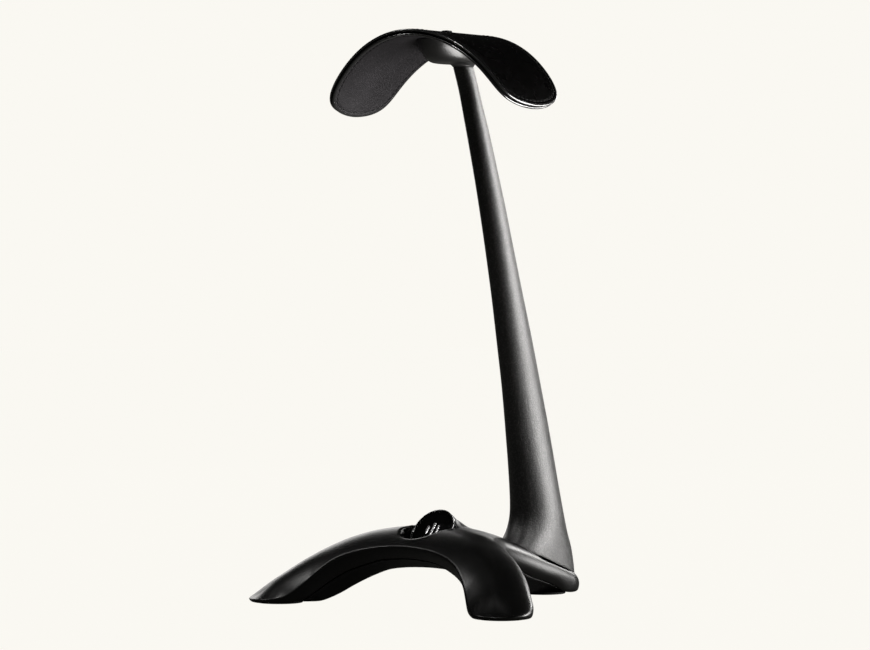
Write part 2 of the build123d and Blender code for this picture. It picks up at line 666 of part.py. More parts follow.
with BuildPart() as bracket_screw:
    with BuildSketch(Plane(origin=SPIGOT.from_local_coords((0, 0, 5.45)), x_dir=(1, 0, 0), z_dir=SPIGOT.z_dir)):
        Circle(3.5)
    extrude(amount=2.4)
    with BuildSketch(Plane(origin=SPIGOT.from_local_coords((0, 0, 6.4)), x_dir=(1, 0, 0), z_dir=SPIGOT.z_dir)):
        RegularPolygon(1.5, 6)
    extrude(amount=3, mode=Mode.SUBTRACT)
    with BuildSketch(Plane(origin=SPIGOT.from_local_coords((0, 0, 5.5)), x_dir=(1, 0, 0), z_dir=SPIGOT.z_dir)):
        Circle(2.0)
    extrude(amount=-19)

with BuildPart() as saddle_screws:
    with Locations(*[(0, y + REAR, PLATE_SCREW_Z) for y in PLATE_SCREW_Y]):
        Cone(1.5, 2.4, 0.8, align=(Align.CENTER, Align.CENTER, Align.MIN))
        Cylinder(1.5, 8.6, align=(Align.CENTER, Align.CENTER, Align.MAX))

# ------------------------------------------------------------------ badge
with BuildPart() as badge_tape:
    with BuildSketch(badge_at(2.98)):
        Circle(BADGE_R - 0.8)
    extrude(amount=0.3)

with BuildPart() as badge_bezel:
    with BuildSketch(badge_at(2.6)):
        Circle(BADGE_R - 0.1)
    extrude(amount=2.6)
    with BuildSketch(badge_at(1.4)):
        Circle(BADGE_R - 0.9)
    extrude(amount=3, mode=Mode.SUBTRACT)

with BuildPart() as badge_face:
    with BuildSketch(badge_at(1.35)):
        Circle(BADGE_R - 0.95)
    extrude(amount=1.0)

with BuildPart() as badge_emblem:
    for x, h in ((-2.9, 4.6), (0.0, 8.4), (2.9, 6.2)):
        with BuildSketch(badge_at(0.34)):
            with Locations((x, 0)):
                SlotOverall(h, 1.7, rotation=90)
        extrude(amount=0.3)

# ------------------------------------------------------------------ labels and files
base_shell.part.label = "base_shell"
export_step(base_shell.part, "parts/base_shell.step")
base_cover.part.label = "base_cover"
export_step(base_cover.part, "parts/base_cover.step")
foot_left.part.label = "foot_left"
export_step(foot_left.part, "parts/foot_left.step")
foot_right.part.label = "foot_right"
export_step(foot_right.part, "parts/foot_right.step")
foot_rear.part.label = "foot_rear"
export_step(foot_rear.part, "parts/foot_rear.step")
ballast_left.part.label = "ballast_left"
export_step(ballast_left.part, "parts/ballast_left.step")
ballast_right.part.label = "ballast_right"
export_step(ballast_right.part, "parts/ballast_right.step")
cover_inserts.part.label = "cover_inserts"
export_step(cover_inserts.part, "parts/cover_inserts.step")
cover_screws.part.label = "cover_screws"
export_step(cover_screws.part, "parts/cover_screws.step")
mast_screws.part.label = "mast_screws"
export_step(mast_screws.part, "parts/mast_screws.step")
mast_washers.part.label = "mast_washers"
export_step(mast_washers.part, "parts/mast_washers.step")
mast.part.label = "mast"
export_step(mast.part, "parts/mast.step")
mast_gasket.part.label = "mast_gasket"
export_step(mast_gasket.part, "parts/mast_gasket.step")
saddle_cover.part.label = "saddle_cover"
export_step(saddle_cover.part, "parts/saddle_cover.step")
saddle_plate.part.label = "saddle_plate"
export_step(saddle_plate.part, "parts/saddle_plate.step")
saddle_lining.part.label = "saddle_lining"
export_step(saddle_lining.part, "parts/saddle_lining.step")
stitch_top.part.label = "stitch_top"
export_step(stitch_top.part, "parts/stitch_top.step")
stitch_under.part.label = "stitch_under"
export_step(stitch_under.part, "parts/stitch_under.step")
crown_tab.part.label = "crown_tab"
export_step(crown_tab.part, "parts/crown_tab.step")
saddle_bracket.part.label = "saddle_bracket"
export_step(saddle_bracket.part, "parts/saddle_bracket.step")
bracket_screw.part.label = "bracket_screw"
export_step(bracket_screw.part, "parts/bracket_screw.step")
saddle_screws.part.label = "saddle_screws"
export_step(saddle_screws.part, "parts/saddle_screws.step")
badge_tape.part.label = "badge_tape"
export_step(badge_tape.part, "parts/badge_tape.step")
badge_bezel.part.label = "badge_bezel"
export_step(badge_bezel.part, "parts/badge_bezel.step")
badge_face.part.label = "badge_face"
export_step(badge_face.part, "parts/badge_face.step")
badge_emblem.part.label = "badge_emblem"
export_step(badge_emblem.part, "parts/badge_emblem.step")
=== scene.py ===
"""Headphone stand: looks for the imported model, in metres, in the model's own frame."""

import math

import bpy
import bmesh
import numpy as np
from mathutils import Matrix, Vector


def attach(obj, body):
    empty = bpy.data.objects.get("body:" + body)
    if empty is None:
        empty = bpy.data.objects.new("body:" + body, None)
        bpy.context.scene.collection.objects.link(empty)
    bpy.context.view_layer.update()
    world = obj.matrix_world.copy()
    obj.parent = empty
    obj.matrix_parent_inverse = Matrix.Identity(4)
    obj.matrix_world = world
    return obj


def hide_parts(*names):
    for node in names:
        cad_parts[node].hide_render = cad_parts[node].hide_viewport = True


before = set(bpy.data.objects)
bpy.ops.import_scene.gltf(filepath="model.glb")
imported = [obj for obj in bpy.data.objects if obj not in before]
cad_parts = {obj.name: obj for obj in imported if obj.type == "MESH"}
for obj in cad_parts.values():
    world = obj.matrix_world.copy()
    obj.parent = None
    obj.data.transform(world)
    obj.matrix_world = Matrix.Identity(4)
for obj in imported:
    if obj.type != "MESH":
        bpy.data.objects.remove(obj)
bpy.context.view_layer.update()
MM = 0.001
REAR = -66.5            # layout shift along Y, as in the CAD


# ---------------------------------------------------------------- tables and curves
def table(*pairs, smooth=1.5):
    """Smooth function through (position, value) pairs: monotone cubic, then a small blur."""
    xs = np.array([p[0] for p in pairs], float)
    ys = np.array([p[1] for p in pairs], float)
    h = np.diff(xs)
    d = np.diff(ys) / h
    m = np.zeros(len(xs))
    m[0], m[-1] = d[0], d[-1]
    for i in range(1, len(xs) - 1):
        if d[i - 1] * d[i] > 0:
            w0, w1 = 2 * h[i] + h[i - 1], h[i] + 2 * h[i - 1]
            m[i] = (w0 + w1) / (w0 / d[i - 1] + w1 / d[i])
    step = 0.25
    g = np.arange(xs[0], xs[-1] + step / 2, step)
    i = np.clip(np.searchsorted(xs, g) - 1, 0, len(h) - 1)
    t = (g - xs[i]) / h[i]
    v = ((1 + 2 * t) * (1 - t) ** 2 * ys[i] + t * (1 - t) ** 2 * h[i] * m[i]
         + t * t * (3 - 2 * t) * ys[i + 1] + t * t * (t - 1) * h[i] * m[i + 1])
    if smooth:
        r = int(3 * smooth / step)
        k = np.exp(-0.5 * (np.arange(-r, r + 1) * step / smooth) ** 2)
        ext = np.concatenate([v[0] + (v[0] - v[1:r + 1][::-1]), v, v[-1] + (v[-1] - v[-r - 1:-1][::-1])])
        v = np.convolve(ext, k / k.sum(), "valid")
    return lambda q: np.interp(q, g, v)


def spline(points, per=24):
    """Dense points on a Catmull-Rom curve through the given ones."""
    p = np.array(points, float)
    p = np.vstack([2 * p[0] - p[1], p, 2 * p[-1] - p[-2]])
    out = []
    for i in range(1, len(p) - 2):
        for t in np.linspace(0, 1, per, endpoint=False):
            a, b, c, d = p[i - 1:i + 3]
            out.append(0.5 * (2 * b + (c - a) * t + (2 * a - 5 * b + 4 * c - d) * t * t
                              + (3 * b - a - 3 * c + d) * t ** 3))
    out.append(p[-2])
    return np.array(out)


def smax(a, b, k):
    """Smooth maximum with blend width k."""
    h = np.maximum(k - np.abs(a - b), 0.0) / np.maximum(k, 1e-9)
    return np.maximum(a, b) + h * h * k * 0.25


def smin(a, b, k):
    """Smooth minimum with blend width k."""
    return -smax(-a, -b, k)


def step01(t):
    """Smooth step from 0 to 1 as t goes from 0 to 1."""
    t = np.clip(t, 0.0, 1.0)
    return t * t * (3 - 2 * t)


# ---------------------------------------------------------------- the base as one smooth field
HUB = 75.8              # half the length of the arch, in the units of its tables
LEFT = [(-67.4, 3.9), (-53.9, 15.8), (-38.2, 24.9), (-18.5, 32.2), (0.0, 34.6)]
SPINE = spline([(x, y) for x, y in LEFT] + [(-x, y) for x, y in LEFT[-2::-1]], 40)
SPINE_D = np.concatenate([[0], np.cumsum(np.hypot(*np.diff(SPINE, axis=0).T))])
SPINE_L = SPINE_D[-1]

# along the arch, from a foot centre at 0 to the middle at HUB
CROWN_Z = table((-16, 2.6), (-14.2, 3.6), (-11, 5.7), (-8, 7.6), (-4, 10.1), (3, 14.5), (14, 21.5),
                (25, 27.35), (36, 31.9), (48, 35.2), (59, 36.9), (66, 37.5), (HUB, 37.9), (90, 37.9))
FRONT_W = table((0, 14.7), (9, 15.0), (18, 15.0), (27, 15.2), (36, 15.8), (46, 16.8), (57, 18.2),
                (HUB, 19.4), (90, 19.4), smooth=3)
REAR_W = table((0, 14.7), (18, 15.2), (30, 16.0), (42, 18.0), (52, 21.0), (62, 24.8), (70, 27.4),
               (HUB, 28.0), (90, 28.0), smooth=3)
FRONT_Z = table((-16, 2.0), (-12, 2.0), (-7, 2.2), (0, 3.0), (4, 4.9), (9, 8.5), (14, 12.0), (18, 14.8),
                (22, 17.6), (27, 20.8), (36, 24.4), (46, 26.8), (57, 28.3), (HUB, 29.2), (90, 29.2))
REAR_Z = table((-16, 2.0), (-12, 2.2), (-7, 3.2), (0, 5.6), (9, 9.8), (18, 14.0), (27, 17.8), (36, 20.8),
               (46, 23.4), (57, 25.2), (HUB, 26.5), (90, 26.5))
SEAM_Z = table((-16, 0.3), (-3, 0.3), (5, 0.9), (12, 2.6), (18, 6.0), (27, 11.6), (36, 16.2), (46, 19.6),
               (57, 22.2), (HUB, 23.2), (90, 23.2))
BELLY_Z = table((-16, 0.25), (15, 0.25), (19.4, 0.4), (22, 1.2), (29, 4.3), (36, 8.4), (47, 13.8),
                (55, 16.6), (67, 17.8), (HUB, 18.0), (90, 18.0))
# along the rear leg, by depth
LEG_START, LEG_END, LEG_REACH = 50.0, 131.0, 150.0
LEG_W = table((20, 28), (40, 26), (50, 24), (60, 20.6), (70, 17.6), (80, 15.6), (90, 14.6), (100, 14.2),
              (120, 14.0), (128, 13.8), (131, 13.5), (150, 13.5), smooth=3)
LEG_TOP = table((20, 38.2), (40, 37.4), (56, 36.2), (64, 34.9), (73, 33.0), (81, 31.0), (89, 28.7),
                (100, 25.2), (110, 22.0), (120, 18.8), (130, 15.3), (137, 12.2), (141, 9.9), (144.5, 7.0),
                (150, 4.0))
LEG_SIDE = table((20, 27), (40, 26), (64, 25), (80, 21), (90, 18), (100, 15), (110, 12), (120, 9.5),
                 (130, 6.6), (137, 4.8), (144.5, 3.8), (150, 3.5))
LEG_SEAM = table((20, 23.2), (40, 22.8), (64, 19.6), (80, 15.5), (94, 12.0), (98, 10.6), (110, 7.2),
                 (116, 5.4), (126, 1.2), (132, 0.5), (150, 0.5))
LEG_BELLY = table((20, 18.0), (40, 17.2), (60, 15.8), (70, 13.3), (80, 9.0), (90, 3.6), (96, 0.5),
                  (100, 0.25), (150, 0.25))
CREASE = 0.6            # rounding of the front crease
SHOULDER = 2.3          # fullness of the rear shoulder
KEEL = 1.7              # fullness of the lower cover's section
COVER_TOE, COVER_REAR = 9.0, 121.5
FEET = ((-67.4, 3.9), (67.4, 3.9), (0, 123.5))
PAD_R, PAD_DEEP = 11.4, 1.0

BADGE = np.array([0.0, 36.9, 36.0])
BADGE_R = 11.7
BADGE_DEEP = 3.0
WELL_R = 12.5
WELL_STEP = 0.6         # the badge face stands this far above the well
TILT = math.radians(54.0)
ACROSS = np.array([1, 0, 0])
NRM = np.array([0.0, -math.sin(TILT), math.cos(TILT)])
UPV = np.array([0.0, math.cos(TILT), math.sin(TILT)])
# centre line of the hump behind the badge: (point, radius)
HUMP = [((0, 37.3, 35.7), 12.5), ((0, 51.5, 32.3), 7.4),
        ((0, 66.0, 29.6), 3.6), ((0, 76.0, 27.0), 2.0)]
SEAT_Y, SEAT_Z, SEAT_SLOPE = 116.0, 16.4, 0.328
SEAT_DEEP = 1.0
FOOT_Y, FOOT_A, FOOT_B = 117.1, 12.1, 25.5


def seat_height(y):
    """Height of the sloping seat under the mast foot."""
    return SEAT_Z - SEAT_SLOPE * (y - SEAT_Y)


def foot_power(z):
    """The mast section grows from an ellipse to a fuller oval toward its foot."""
    return 2.0 + 0.6 * step01((32.0 - z) / 24.0)


def plan(x, y):
    """Everything about the base that depends only on the place in plan. Layout millimetres."""
    shape = np.broadcast(x, y).shape
    xs = np.broadcast_to(x, shape).ravel()
    ys = np.broadcast_to(y, shape).ravel()
    a = np.empty(xs.size)
    n = np.empty(xs.size)
    r = np.empty(xs.size)
    p0 = SPINE[:-1]
    dv = np.diff(SPINE, axis=0)
    L = np.hypot(dv[:, 0], dv[:, 1])
    for lo in range(0, xs.size, 20000):
        hi = min(lo + 20000, xs.size)
        q = np.stack([xs[lo:hi], ys[lo:hi]], 1)
        d2 = (q[:, None, 0] - SPINE[None, ::4, 0]) ** 2 + (q[:, None, 1] - SPINE[None, ::4, 1]) ** 2
        best = np.argmin(d2, 1) * 4
        bd = np.full(hi - lo, 1e9)
        for off in (-4, -3, -2, -1, 0, 1, 2, 3):
            i = np.clip(best + off, 0, len(p0) - 1)
            rel = q - p0[i]
            t = np.clip((rel * dv[i]).sum(1) / (L[i] ** 2), 0, 1)
            w = rel - dv[i] * t[:, None]
            dd = (w ** 2).sum(1)
            better = dd < bd
            bd = np.where(better, dd, bd)
            s = SPINE_D[i] + t * L[i]
            side = (rel[:, 0] * dv[i][:, 1] - rel[:, 1] * dv[i][:, 0]) / L[i]
            a[lo:hi] = np.where(better, s, a[lo:hi])
            n[lo:hi] = np.where(better, side, n[lo:hi])
        r[lo:hi] = np.sqrt(bd)
    # beyond a foot centre: signed distance along the toe
    tl = (SPINE[1] - SPINE[0]) / np.hypot(*(SPINE[1] - SPINE[0]))
    px = -np.abs(xs) - SPINE[0][0]
    py = ys - SPINE[0][1]
    toe = px * tl[0] + py * tl[1]
    al = np.minimum(a, SPINE_L - a) * (2 * HUB / SPINE_L)
    al = np.where(al < 1e-6, np.minimum(toe, 0.0), al)
    fw, rw = FRONT_W(al), REAR_W(al)
    f = step01(n / 8.0 + 0.5)
    w_arch = rw + (fw - rw) * f
    p_arch = r - np.where(n > 0, fw, rw)
    yy = np.clip(ys, LEG_START, LEG_REACH)
    w_leg = LEG_W(yy)
    r_leg = np.hypot(xs, np.maximum(ys - LEG_END, 0.0) + np.maximum(LEG_START - ys, 0.0))
    p_leg = r_leg - w_leg
    k_arch = step01((p_leg - p_arch) / 16.0 + 0.5)

    def mix(u, v):
        return v + (u - v) * k_arch

    front = f * k_arch
    out = {
        "P": smin(p_arch, p_leg, 17.0 - 11.0 * f),
        "W": mix(w_arch, w_leg),
        "front": front, "a": al, "karch": k_arch,
        "ridge": mix(CROWN_Z(al), LEG_TOP(yy)),
        "edge": mix(REAR_Z(al) + (FRONT_Z(al) - REAR_Z(al)) * f, LEG_SIDE(yy)),
        "seam": mix(SEAM_Z(al), LEG_SEAM(yy)),
        "belly": mix(BELLY_Z(al), LEG_BELLY(yy)),
    }
    foot = np.maximum(step01((24 - al) / 14) * k_arch, step01((ys - 118) / 10) * (1 - k_arch))
    out["foot"] = foot
    out["tuck"] = 2.0 - foot + 2.2 * step01((al - 8.0) / 30.0) * front
    return {k: v.reshape(shape) for k, v in out.items()}


def cone_field(x, y, z, a, b, ra, rb):
    """Distance-like field of a straight cone with round ends."""
    ax = np.array(b) - np.array(a)
    L2 = (ax ** 2).sum()
    t = np.clip(((x - a[0]) * ax[0] + (y - a[1]) * ax[1] + (z - a[2]) * ax[2]) / L2, 0, 1)
    d = np.sqrt((x - a[0] - ax[0] * t) ** 2 + (y - a[1] - ax[1] * t) ** 2 + (z - a[2] - ax[2] * t) ** 2)
    return d - (ra + (rb - ra) * t)


def shell_field(c, x, y, z):
    """Upper shell: negative inside. c holds what plan() says about the place."""
    P, W = c["P"], c["W"]
    edge, ridge, seam = c["edge"], c["ridge"], c["seam"]
    rise = np.maximum(ridge - edge, 0.3)
    tau = np.clip(-P / W, -0.5, 1.0)
    # front: crowned top meets the side in a crease
    top = edge + rise * (1 - (1 - tau) ** 2)
    slope = np.sqrt(1 + (2 * rise / W * (1 - tau)) ** 2)
    drop = np.clip((edge - z) / np.maximum(edge - seam, 0.3), 0, 1.5)
    side = P + c["tuck"] * drop ** 1.4
    ff = smax((z - top) / slope, side, CREASE)
    # rear: one rounded shoulder
    p = SHOULDER
    q = np.clip(1 - tau, 0, None) ** p + np.clip((z - edge) / rise, 0, None) ** p
    g = (q ** (1 / p) - 1) * np.minimum(W, rise * 1.3)
    fr = np.where(z > edge, g, P + c["tuck"] * drop ** 2.2)
    f = fr + (ff - fr) * c["front"]
    # faired hump behind the badge
    t = NRM[1] * (y - BADGE[1]) + NRM[2] * (z - BADGE[2])
    u = UPV[1] * (y - BADGE[1]) + UPV[2] * (z - BADGE[2])
    rad = np.sqrt(x ** 2 + u ** 2)
    boss = cone_field(x, y, z, HUMP[0][0], HUMP[1][0], HUMP[0][1], HUMP[1][1])
    for (p0, r0), (p1, r1) in zip(HUMP[1:-1], HUMP[2:]):
        boss = smin(boss, cone_field(x, y, z, p0, p1, r0, r1), 2.5)
    f = smin(f, smax(boss, t + 0.4, 0.7), 3.0)
    # well in front of the badge, and the badge seat
    f = smax(f, -smax(rad - WELL_R, -(t + WELL_STEP), 0.5), 1.5)
    f = np.maximum(f, -np.maximum(rad - BADGE_R - 0.12, -(t + BADGE_DEEP)))
    # pocket of the mast foot
    seat = z - seat_height(y) + SEAT_DEEP
    ex, ey = np.abs(x) / FOOT_A, np.abs(y - FOOT_Y) / FOOT_B
    n = foot_power(z)
    e = np.maximum((ex ** n + ey ** n) ** (1 / n), 0.05)
    slope = np.hypot((ex / e) ** (n - 1) / FOOT_A, (ey / e) ** (n - 1) / FOOT_B)
    oval = (e - 1) / np.maximum(slope, 0.02)
    f = smax(f, -smax(oval - 0.5, -seat, 0.3), 0.7)
    # underside
    f = smax(f, seam - z, 0.4 + 0.8 * c["foot"])
    return f


def cover_field(c, x, y, z):
    """Lower cover: negative inside, keel-shaped, open round the foot pads."""
    k = c["tuck"] - 0.15
    keel = KEEL - 0.5 * c["front"]
    tau = np.clip((-c["P"] - k) / np.maximum(c["W"] - k, 1.0), -0.5, 1.0)
    z1 = c["seam"] - 0.2 + 0.17 * step01((tau - 0.08) / 0.1)
    dz = np.maximum(z1 - c["belly"], 0.05)
    low = z1 - dz * (1 - np.clip(1 - tau, 0, None) ** keel)
    sl = np.sqrt(1 + (keel * dz / c["W"]) ** 2 * np.clip(1 - tau, 0.05, 1) ** (2 * keel - 2))
    f = smax((low - z) / sl, z - z1, 0.3)
    f = smax(f, c["P"] + k, 0.4)
    toe = np.where(c["karch"] > 0.5, COVER_TOE - c["a"], -99.0)
    f = np.maximum(f, np.maximum(toe, y - COVER_REAR))
    for fx, fy in FEET:
        f = np.maximum(f, -np.maximum(np.hypot(x - fx, y - fy) - PAD_R, z - PAD_DEEP))
    return f


def net(field, lo, hi, h, columns=plan):
    """Surface-net mesh of field < 0, vertices pulled onto the surface. Returns points, quads, normals."""
    ax = [np.arange(lo[i], hi[i] + h, h) for i in range(3)]
    col = columns(ax[0][:, None], ax[1][None, :])
    col = {k: v[:, :, None] for k, v in col.items()}
    V = field(col, ax[0][:, None, None], ax[1][None, :, None], ax[2][None, None, :]).astype(np.float32)
    S = V < 0
    n = [len(q) - 1 for q in ax]
    cnt = np.zeros(n, np.int8)
    for dx in (0, 1):
        for dy in (0, 1):
            for dz in (0, 1):
                cnt += S[dx:n[0] + dx, dy:n[1] + dy, dz:n[2] + dz]
    act = (cnt > 0) & (cnt < 8)
    idx = -np.ones(n, np.int64)
    I, J, K = np.nonzero(act)
    idx[I, J, K] = np.arange(len(I))
    pos = np.zeros((len(I), 3))
    num = np.zeros(len(I))
    corners = [(dx, dy, dz) for dx in (0, 1) for dy in (0, 1) for dz in (0, 1)]
    for c0 in corners:
        for d in range(3):
            if c0[d]:
                continue
            c1 = list(c0)
            c1[d] = 1
            v0 = V[I + c0[0], J + c0[1], K + c0[2]]
            v1 = V[I + c1[0], J + c1[1], K + c1[2]]
            cross = (v0 < 0) != (v1 < 0)
            t = np.where(cross, v0 / np.where(cross, v0 - v1, 1), 0)
            q = np.stack([np.full(len(I), c0[m], float) for m in range(3)], 1)
            q[:, d] += t
            pos += q * cross[:, None]
            num += cross
    pos = pos / num[:, None] + np.stack([I, J, K], 1)
    pts = np.stack([ax[m][0] + pos[:, m] * h for m in range(3)], 1)
    quads = []
    for d in range(3):
        e = [(1, 2), (2, 0), (0, 1)][d]
        sl0 = [slice(1, n[m]) for m in range(3)]
        sl1 = [slice(1, n[m]) for m in range(3)]
        sl0[d] = slice(0, n[d])
        sl1[d] = slice(1, n[d] + 1)
        A = S[tuple(sl0)]
        B = S[tuple(sl1)]
        for flip, hit in ((False, A & ~B), (True, ~A & B)):
            ii = np.stack(np.nonzero(hit), 1)
            for m in e:
                ii[:, m] += 1
            cells = []
            for s0, s1 in ((-1, -1), (0, -1), (0, 0), (-1, 0)):
                c = ii.copy()
                c[:, e[0]] += s0
                c[:, e[1]] += s1
                cells.append(idx[c[:, 0], c[:, 1], c[:, 2]])
            q = np.stack(cells, 1)
            quads.append(q[:, ::-1] if flip else q)
    quads = np.concatenate(quads)

    def value(p):
        return field(columns(p[:, 0], p[:, 1]), p[:, 0], p[:, 1], p[:, 2])

    def grad(p, e=0.06):
        g = np.zeros_like(p)
        for m in range(3):
            s = np.zeros(3)
            s[m] = e
            g[:, m] = (value(p + s) - value(p - s)) / (2 * e)
        return g

    for _ in range(2):
        g = grad(pts)
        v = value(pts)
        g2 = np.maximum((g ** 2).sum(1), 0.05)
        mv = g * (v / g2)[:, None]
        ln = np.linalg.norm(mv, axis=1)
        mv *= np.minimum(1, 0.45 * h / np.maximum(ln, 1e-9))[:, None]
        pts = pts - mv
    g = grad(pts, 0.3)
    nrm = g / np.maximum(np.linalg.norm(g, axis=1), 1e-9)[:, None]
    return pts, quads, nrm


def to_mesh(name, pts, faces, mats, nrm=None, ids=None):
    """Object from layout millimetres."""
    me = bpy.data.meshes.new(name)
    p = np.array(pts, float) + np.array([0, REAR, 0])
    me.from_pydata((p * MM).tolist(), [], [list(map(int, f)) for f in faces])
    me.update()
    for m in mats:
        me.materials.append(m)
    if ids is not None:
        me.polygons.foreach_set("material_index", np.array(ids, np.int32))
    me.polygons.foreach_set("use_smooth", np.ones(len(me.polygons), bool))
    if nrm is not None:
        me.normals_split_custom_set_from_vertices([tuple(v) for v in nrm])
    ob = bpy.data.objects.new(name, me)
    bpy.context.scene.collection.objects.link(ob)
    return ob


def mend(ob, merge=0.0, thin=0.0):
    """Faces turned outward, after merging points and dropping slivers where asked. Metres."""
    bm = bmesh.new()
    bm.from_mesh(ob.data)
    if merge:
        bmesh.ops.remove_doubles(bm, verts=bm.verts, dist=merge)
    if thin:
        bmesh.ops.dissolve_degenerate(bm, edges=bm.edges, dist=thin)
    bmesh.ops.recalc_face_normals(bm, faces=bm.faces)
    bm.to_mesh(ob.data)
    bm.free()
    return ob


def clear_nodes(material):
    """Node tree of the material, emptied."""
    material.use_nodes = True
    nt = material.node_tree
    for node in list(nt.nodes):
        nt.nodes.remove(node)
    return nt


# ---------------------------------------------------------------- materials
def new_material(name):
    """Empty principled material and the object coordinates that its patterns use."""
    m = bpy.data.materials.new(name)
    nt = clear_nodes(m)
    out = nt.nodes.new("ShaderNodeOutputMaterial")
    bsdf = nt.nodes.new("ShaderNodeBsdfPrincipled")
    nt.links.new(bsdf.outputs[0], out.inputs[0])
    tex = nt.nodes.new("ShaderNodeTexCoord")
    return m, nt, bsdf, tex.outputs["Object"]


def noise(nt, vec, size, detail=2.0, rough=0.5, dist=0.0):
    """Noise whose features are about size metres wide."""
    n = nt.nodes.new("ShaderNodeTexNoise")
    n.inputs["Scale"].default_value = 1.0 / size
    n.inputs["Detail"].default_value = detail
    n.inputs["Roughness"].default_value = rough
    n.inputs["Distortion"].default_value = dist
    nt.links.new(vec, n.inputs["Vector"])
    return n.outputs["Fac"]


def voronoi(nt, vec, size):
    """Distance to the nearest of scattered points about size metres apart."""
    n = nt.nodes.new("ShaderNodeTexVoronoi")
    n.inputs["Scale"].default_value = 1.0 / size
    nt.links.new(vec, n.inputs["Vector"])
    return n.outputs["Distance"]


def ramp(nt, fac, low, high):
    """Colour ramp between two (position, colour or grey) stops."""
    r = nt.nodes.new("ShaderNodeValToRGB")
    for stop, (pos, c) in zip(r.color_ramp.elements, (low, high)):
        stop.position = pos
        stop.color = (*c, 1) if hasattr(c, "__len__") else (c, c, c, 1)
    nt.links.new(fac, r.inputs[0])
    return r.outputs[0]


def maths(nt, op, a, b):
    """Math node; a and b are numbers or sockets."""
    n = nt.nodes.new("ShaderNodeMath")
    n.operation = op
    for i, v in enumerate((a, b)):
        if isinstance(v, (int, float)):
            n.inputs[i].default_value = v
        else:
            nt.links.new(v, n.inputs[i])
    return n.outputs[0]


def bump(nt, bsdf, height, depth):
    """Relief depth metres high on the material's normal."""
    b = nt.nodes.new("ShaderNodeBump")
    b.inputs["Strength"].default_value = 1.0
    b.inputs["Distance"].default_value = depth
    nt.links.new(height, b.inputs["Height"])
    nt.links.new(b.outputs[0], bsdf.inputs["Normal"])


CLOUD, WEAR = 0.012, 0.018      # size of the soft patches in paint and in leather
# colour of the lighter flecks: partly the coat's own flecks, partly painted glints of its grain
FLECK_AND_GLINT = (0.055, 0.054, 0.053, 1)
BRUSHED, BRUSH_DEPTH = 0.0006, 0.000004


def coated(name, col, rough, grain, depth, spec, fleck_and_glint=0.0):
    """Painted or powder-coated surface: fine grain, faint cloudiness in gloss, tiny lighter flecks that are
    partly the coat's own and partly painted glints of its grain.
    """
    m, nt, b, vec = new_material(name)
    fine = noise(nt, vec, grain, 3.0, 0.6)
    cloud = noise(nt, vec, CLOUD, 3.0, 0.5)
    c0 = tuple(v * 0.8 for v in col)
    c1 = tuple(v * 1.25 for v in col)
    base = ramp(nt, cloud, (0.3, c0), (0.7, c1))
    # painted glints: lighter flecks mixed into the colour where the fleck noise is high
    if fleck_and_glint:
        fleck_glint_mask = ramp(nt, noise(nt, vec, grain * 1.3, 1.0, 0.5), (0.50, 0.0), (0.64, 1.0))
        mixn = nt.nodes.new("ShaderNodeMix")
        mixn.data_type = "RGBA"
        nt.links.new(maths(nt, "MULTIPLY", fleck_glint_mask, fleck_and_glint), mixn.inputs["Factor"])
        nt.links.new(base, mixn.inputs["A"])
        mixn.inputs["B"].default_value = FLECK_AND_GLINT
        base = mixn.outputs["Result"]
    nt.links.new(base, b.inputs["Base Color"])
    r = maths(nt, "ADD", maths(nt, "MULTIPLY", cloud, 0.08), rough - 0.04)
    r = maths(nt, "ADD", maths(nt, "MULTIPLY", fine, 0.10), maths(nt, "SUBTRACT", r, 0.05))
    nt.links.new(r, b.inputs["Roughness"])
    b.inputs["Specular IOR Level"].default_value = spec
    bump(nt, b, fine, depth)
    return m


def leather(name, dark, light, rough, cell, depth, sheen=0.0, spec=0.5):
    """Leather or thread: pores, wrinkles and soft wear."""
    m, nt, b, vec = new_material(name)
    pores = voronoi(nt, vec, cell)
    wrinkle = noise(nt, vec, cell * 3.2, 4.0, 0.55, 0.4)
    wear = noise(nt, vec, WEAR, 3.0, 0.5)
    h = maths(nt, "ADD", maths(nt, "MULTIPLY", pores, 0.7), maths(nt, "MULTIPLY", wrinkle, 0.6))
    tone = maths(nt, "ADD", maths(nt, "MULTIPLY", h, 0.6), maths(nt, "MULTIPLY", wear, 0.4))
    nt.links.new(ramp(nt, tone, (0.25, dark), (0.75, light)), b.inputs["Base Color"])
    nt.links.new(maths(nt, "ADD", maths(nt, "MULTIPLY", wear, 0.14), rough - 0.07), b.inputs["Roughness"])
    b.inputs["Specular IOR Level"].default_value = spec
    b.inputs["Sheen Weight"].default_value = sheen
    b.inputs["Sheen Roughness"].default_value = 0.5
    bump(nt, b, h, depth)
    return m


def metal(name, col, rough):
    """Bare metal with a fine grain drawn out sideways."""
    m, nt, b, vec = new_material(name)
    mp = nt.nodes.new("ShaderNodeMapping")
    mp.inputs["Scale"].default_value = (1, 1, 6)
    nt.links.new(vec, mp.inputs["Vector"])
    g = noise(nt, mp.outputs[0], BRUSHED, 3.0, 0.6)
    dull = tuple(v * 0.85 for v in col)
    nt.links.new(ramp(nt, g, (0.3, dull), (0.7, col)), b.inputs["Base Color"])
    nt.links.new(maths(nt, "ADD", maths(nt, "MULTIPLY", g, 0.12), rough - 0.06), b.inputs["Roughness"])
    b.inputs["Metallic"].default_value = 1.0
    bump(nt, b, g, BRUSH_DEPTH)
    return m


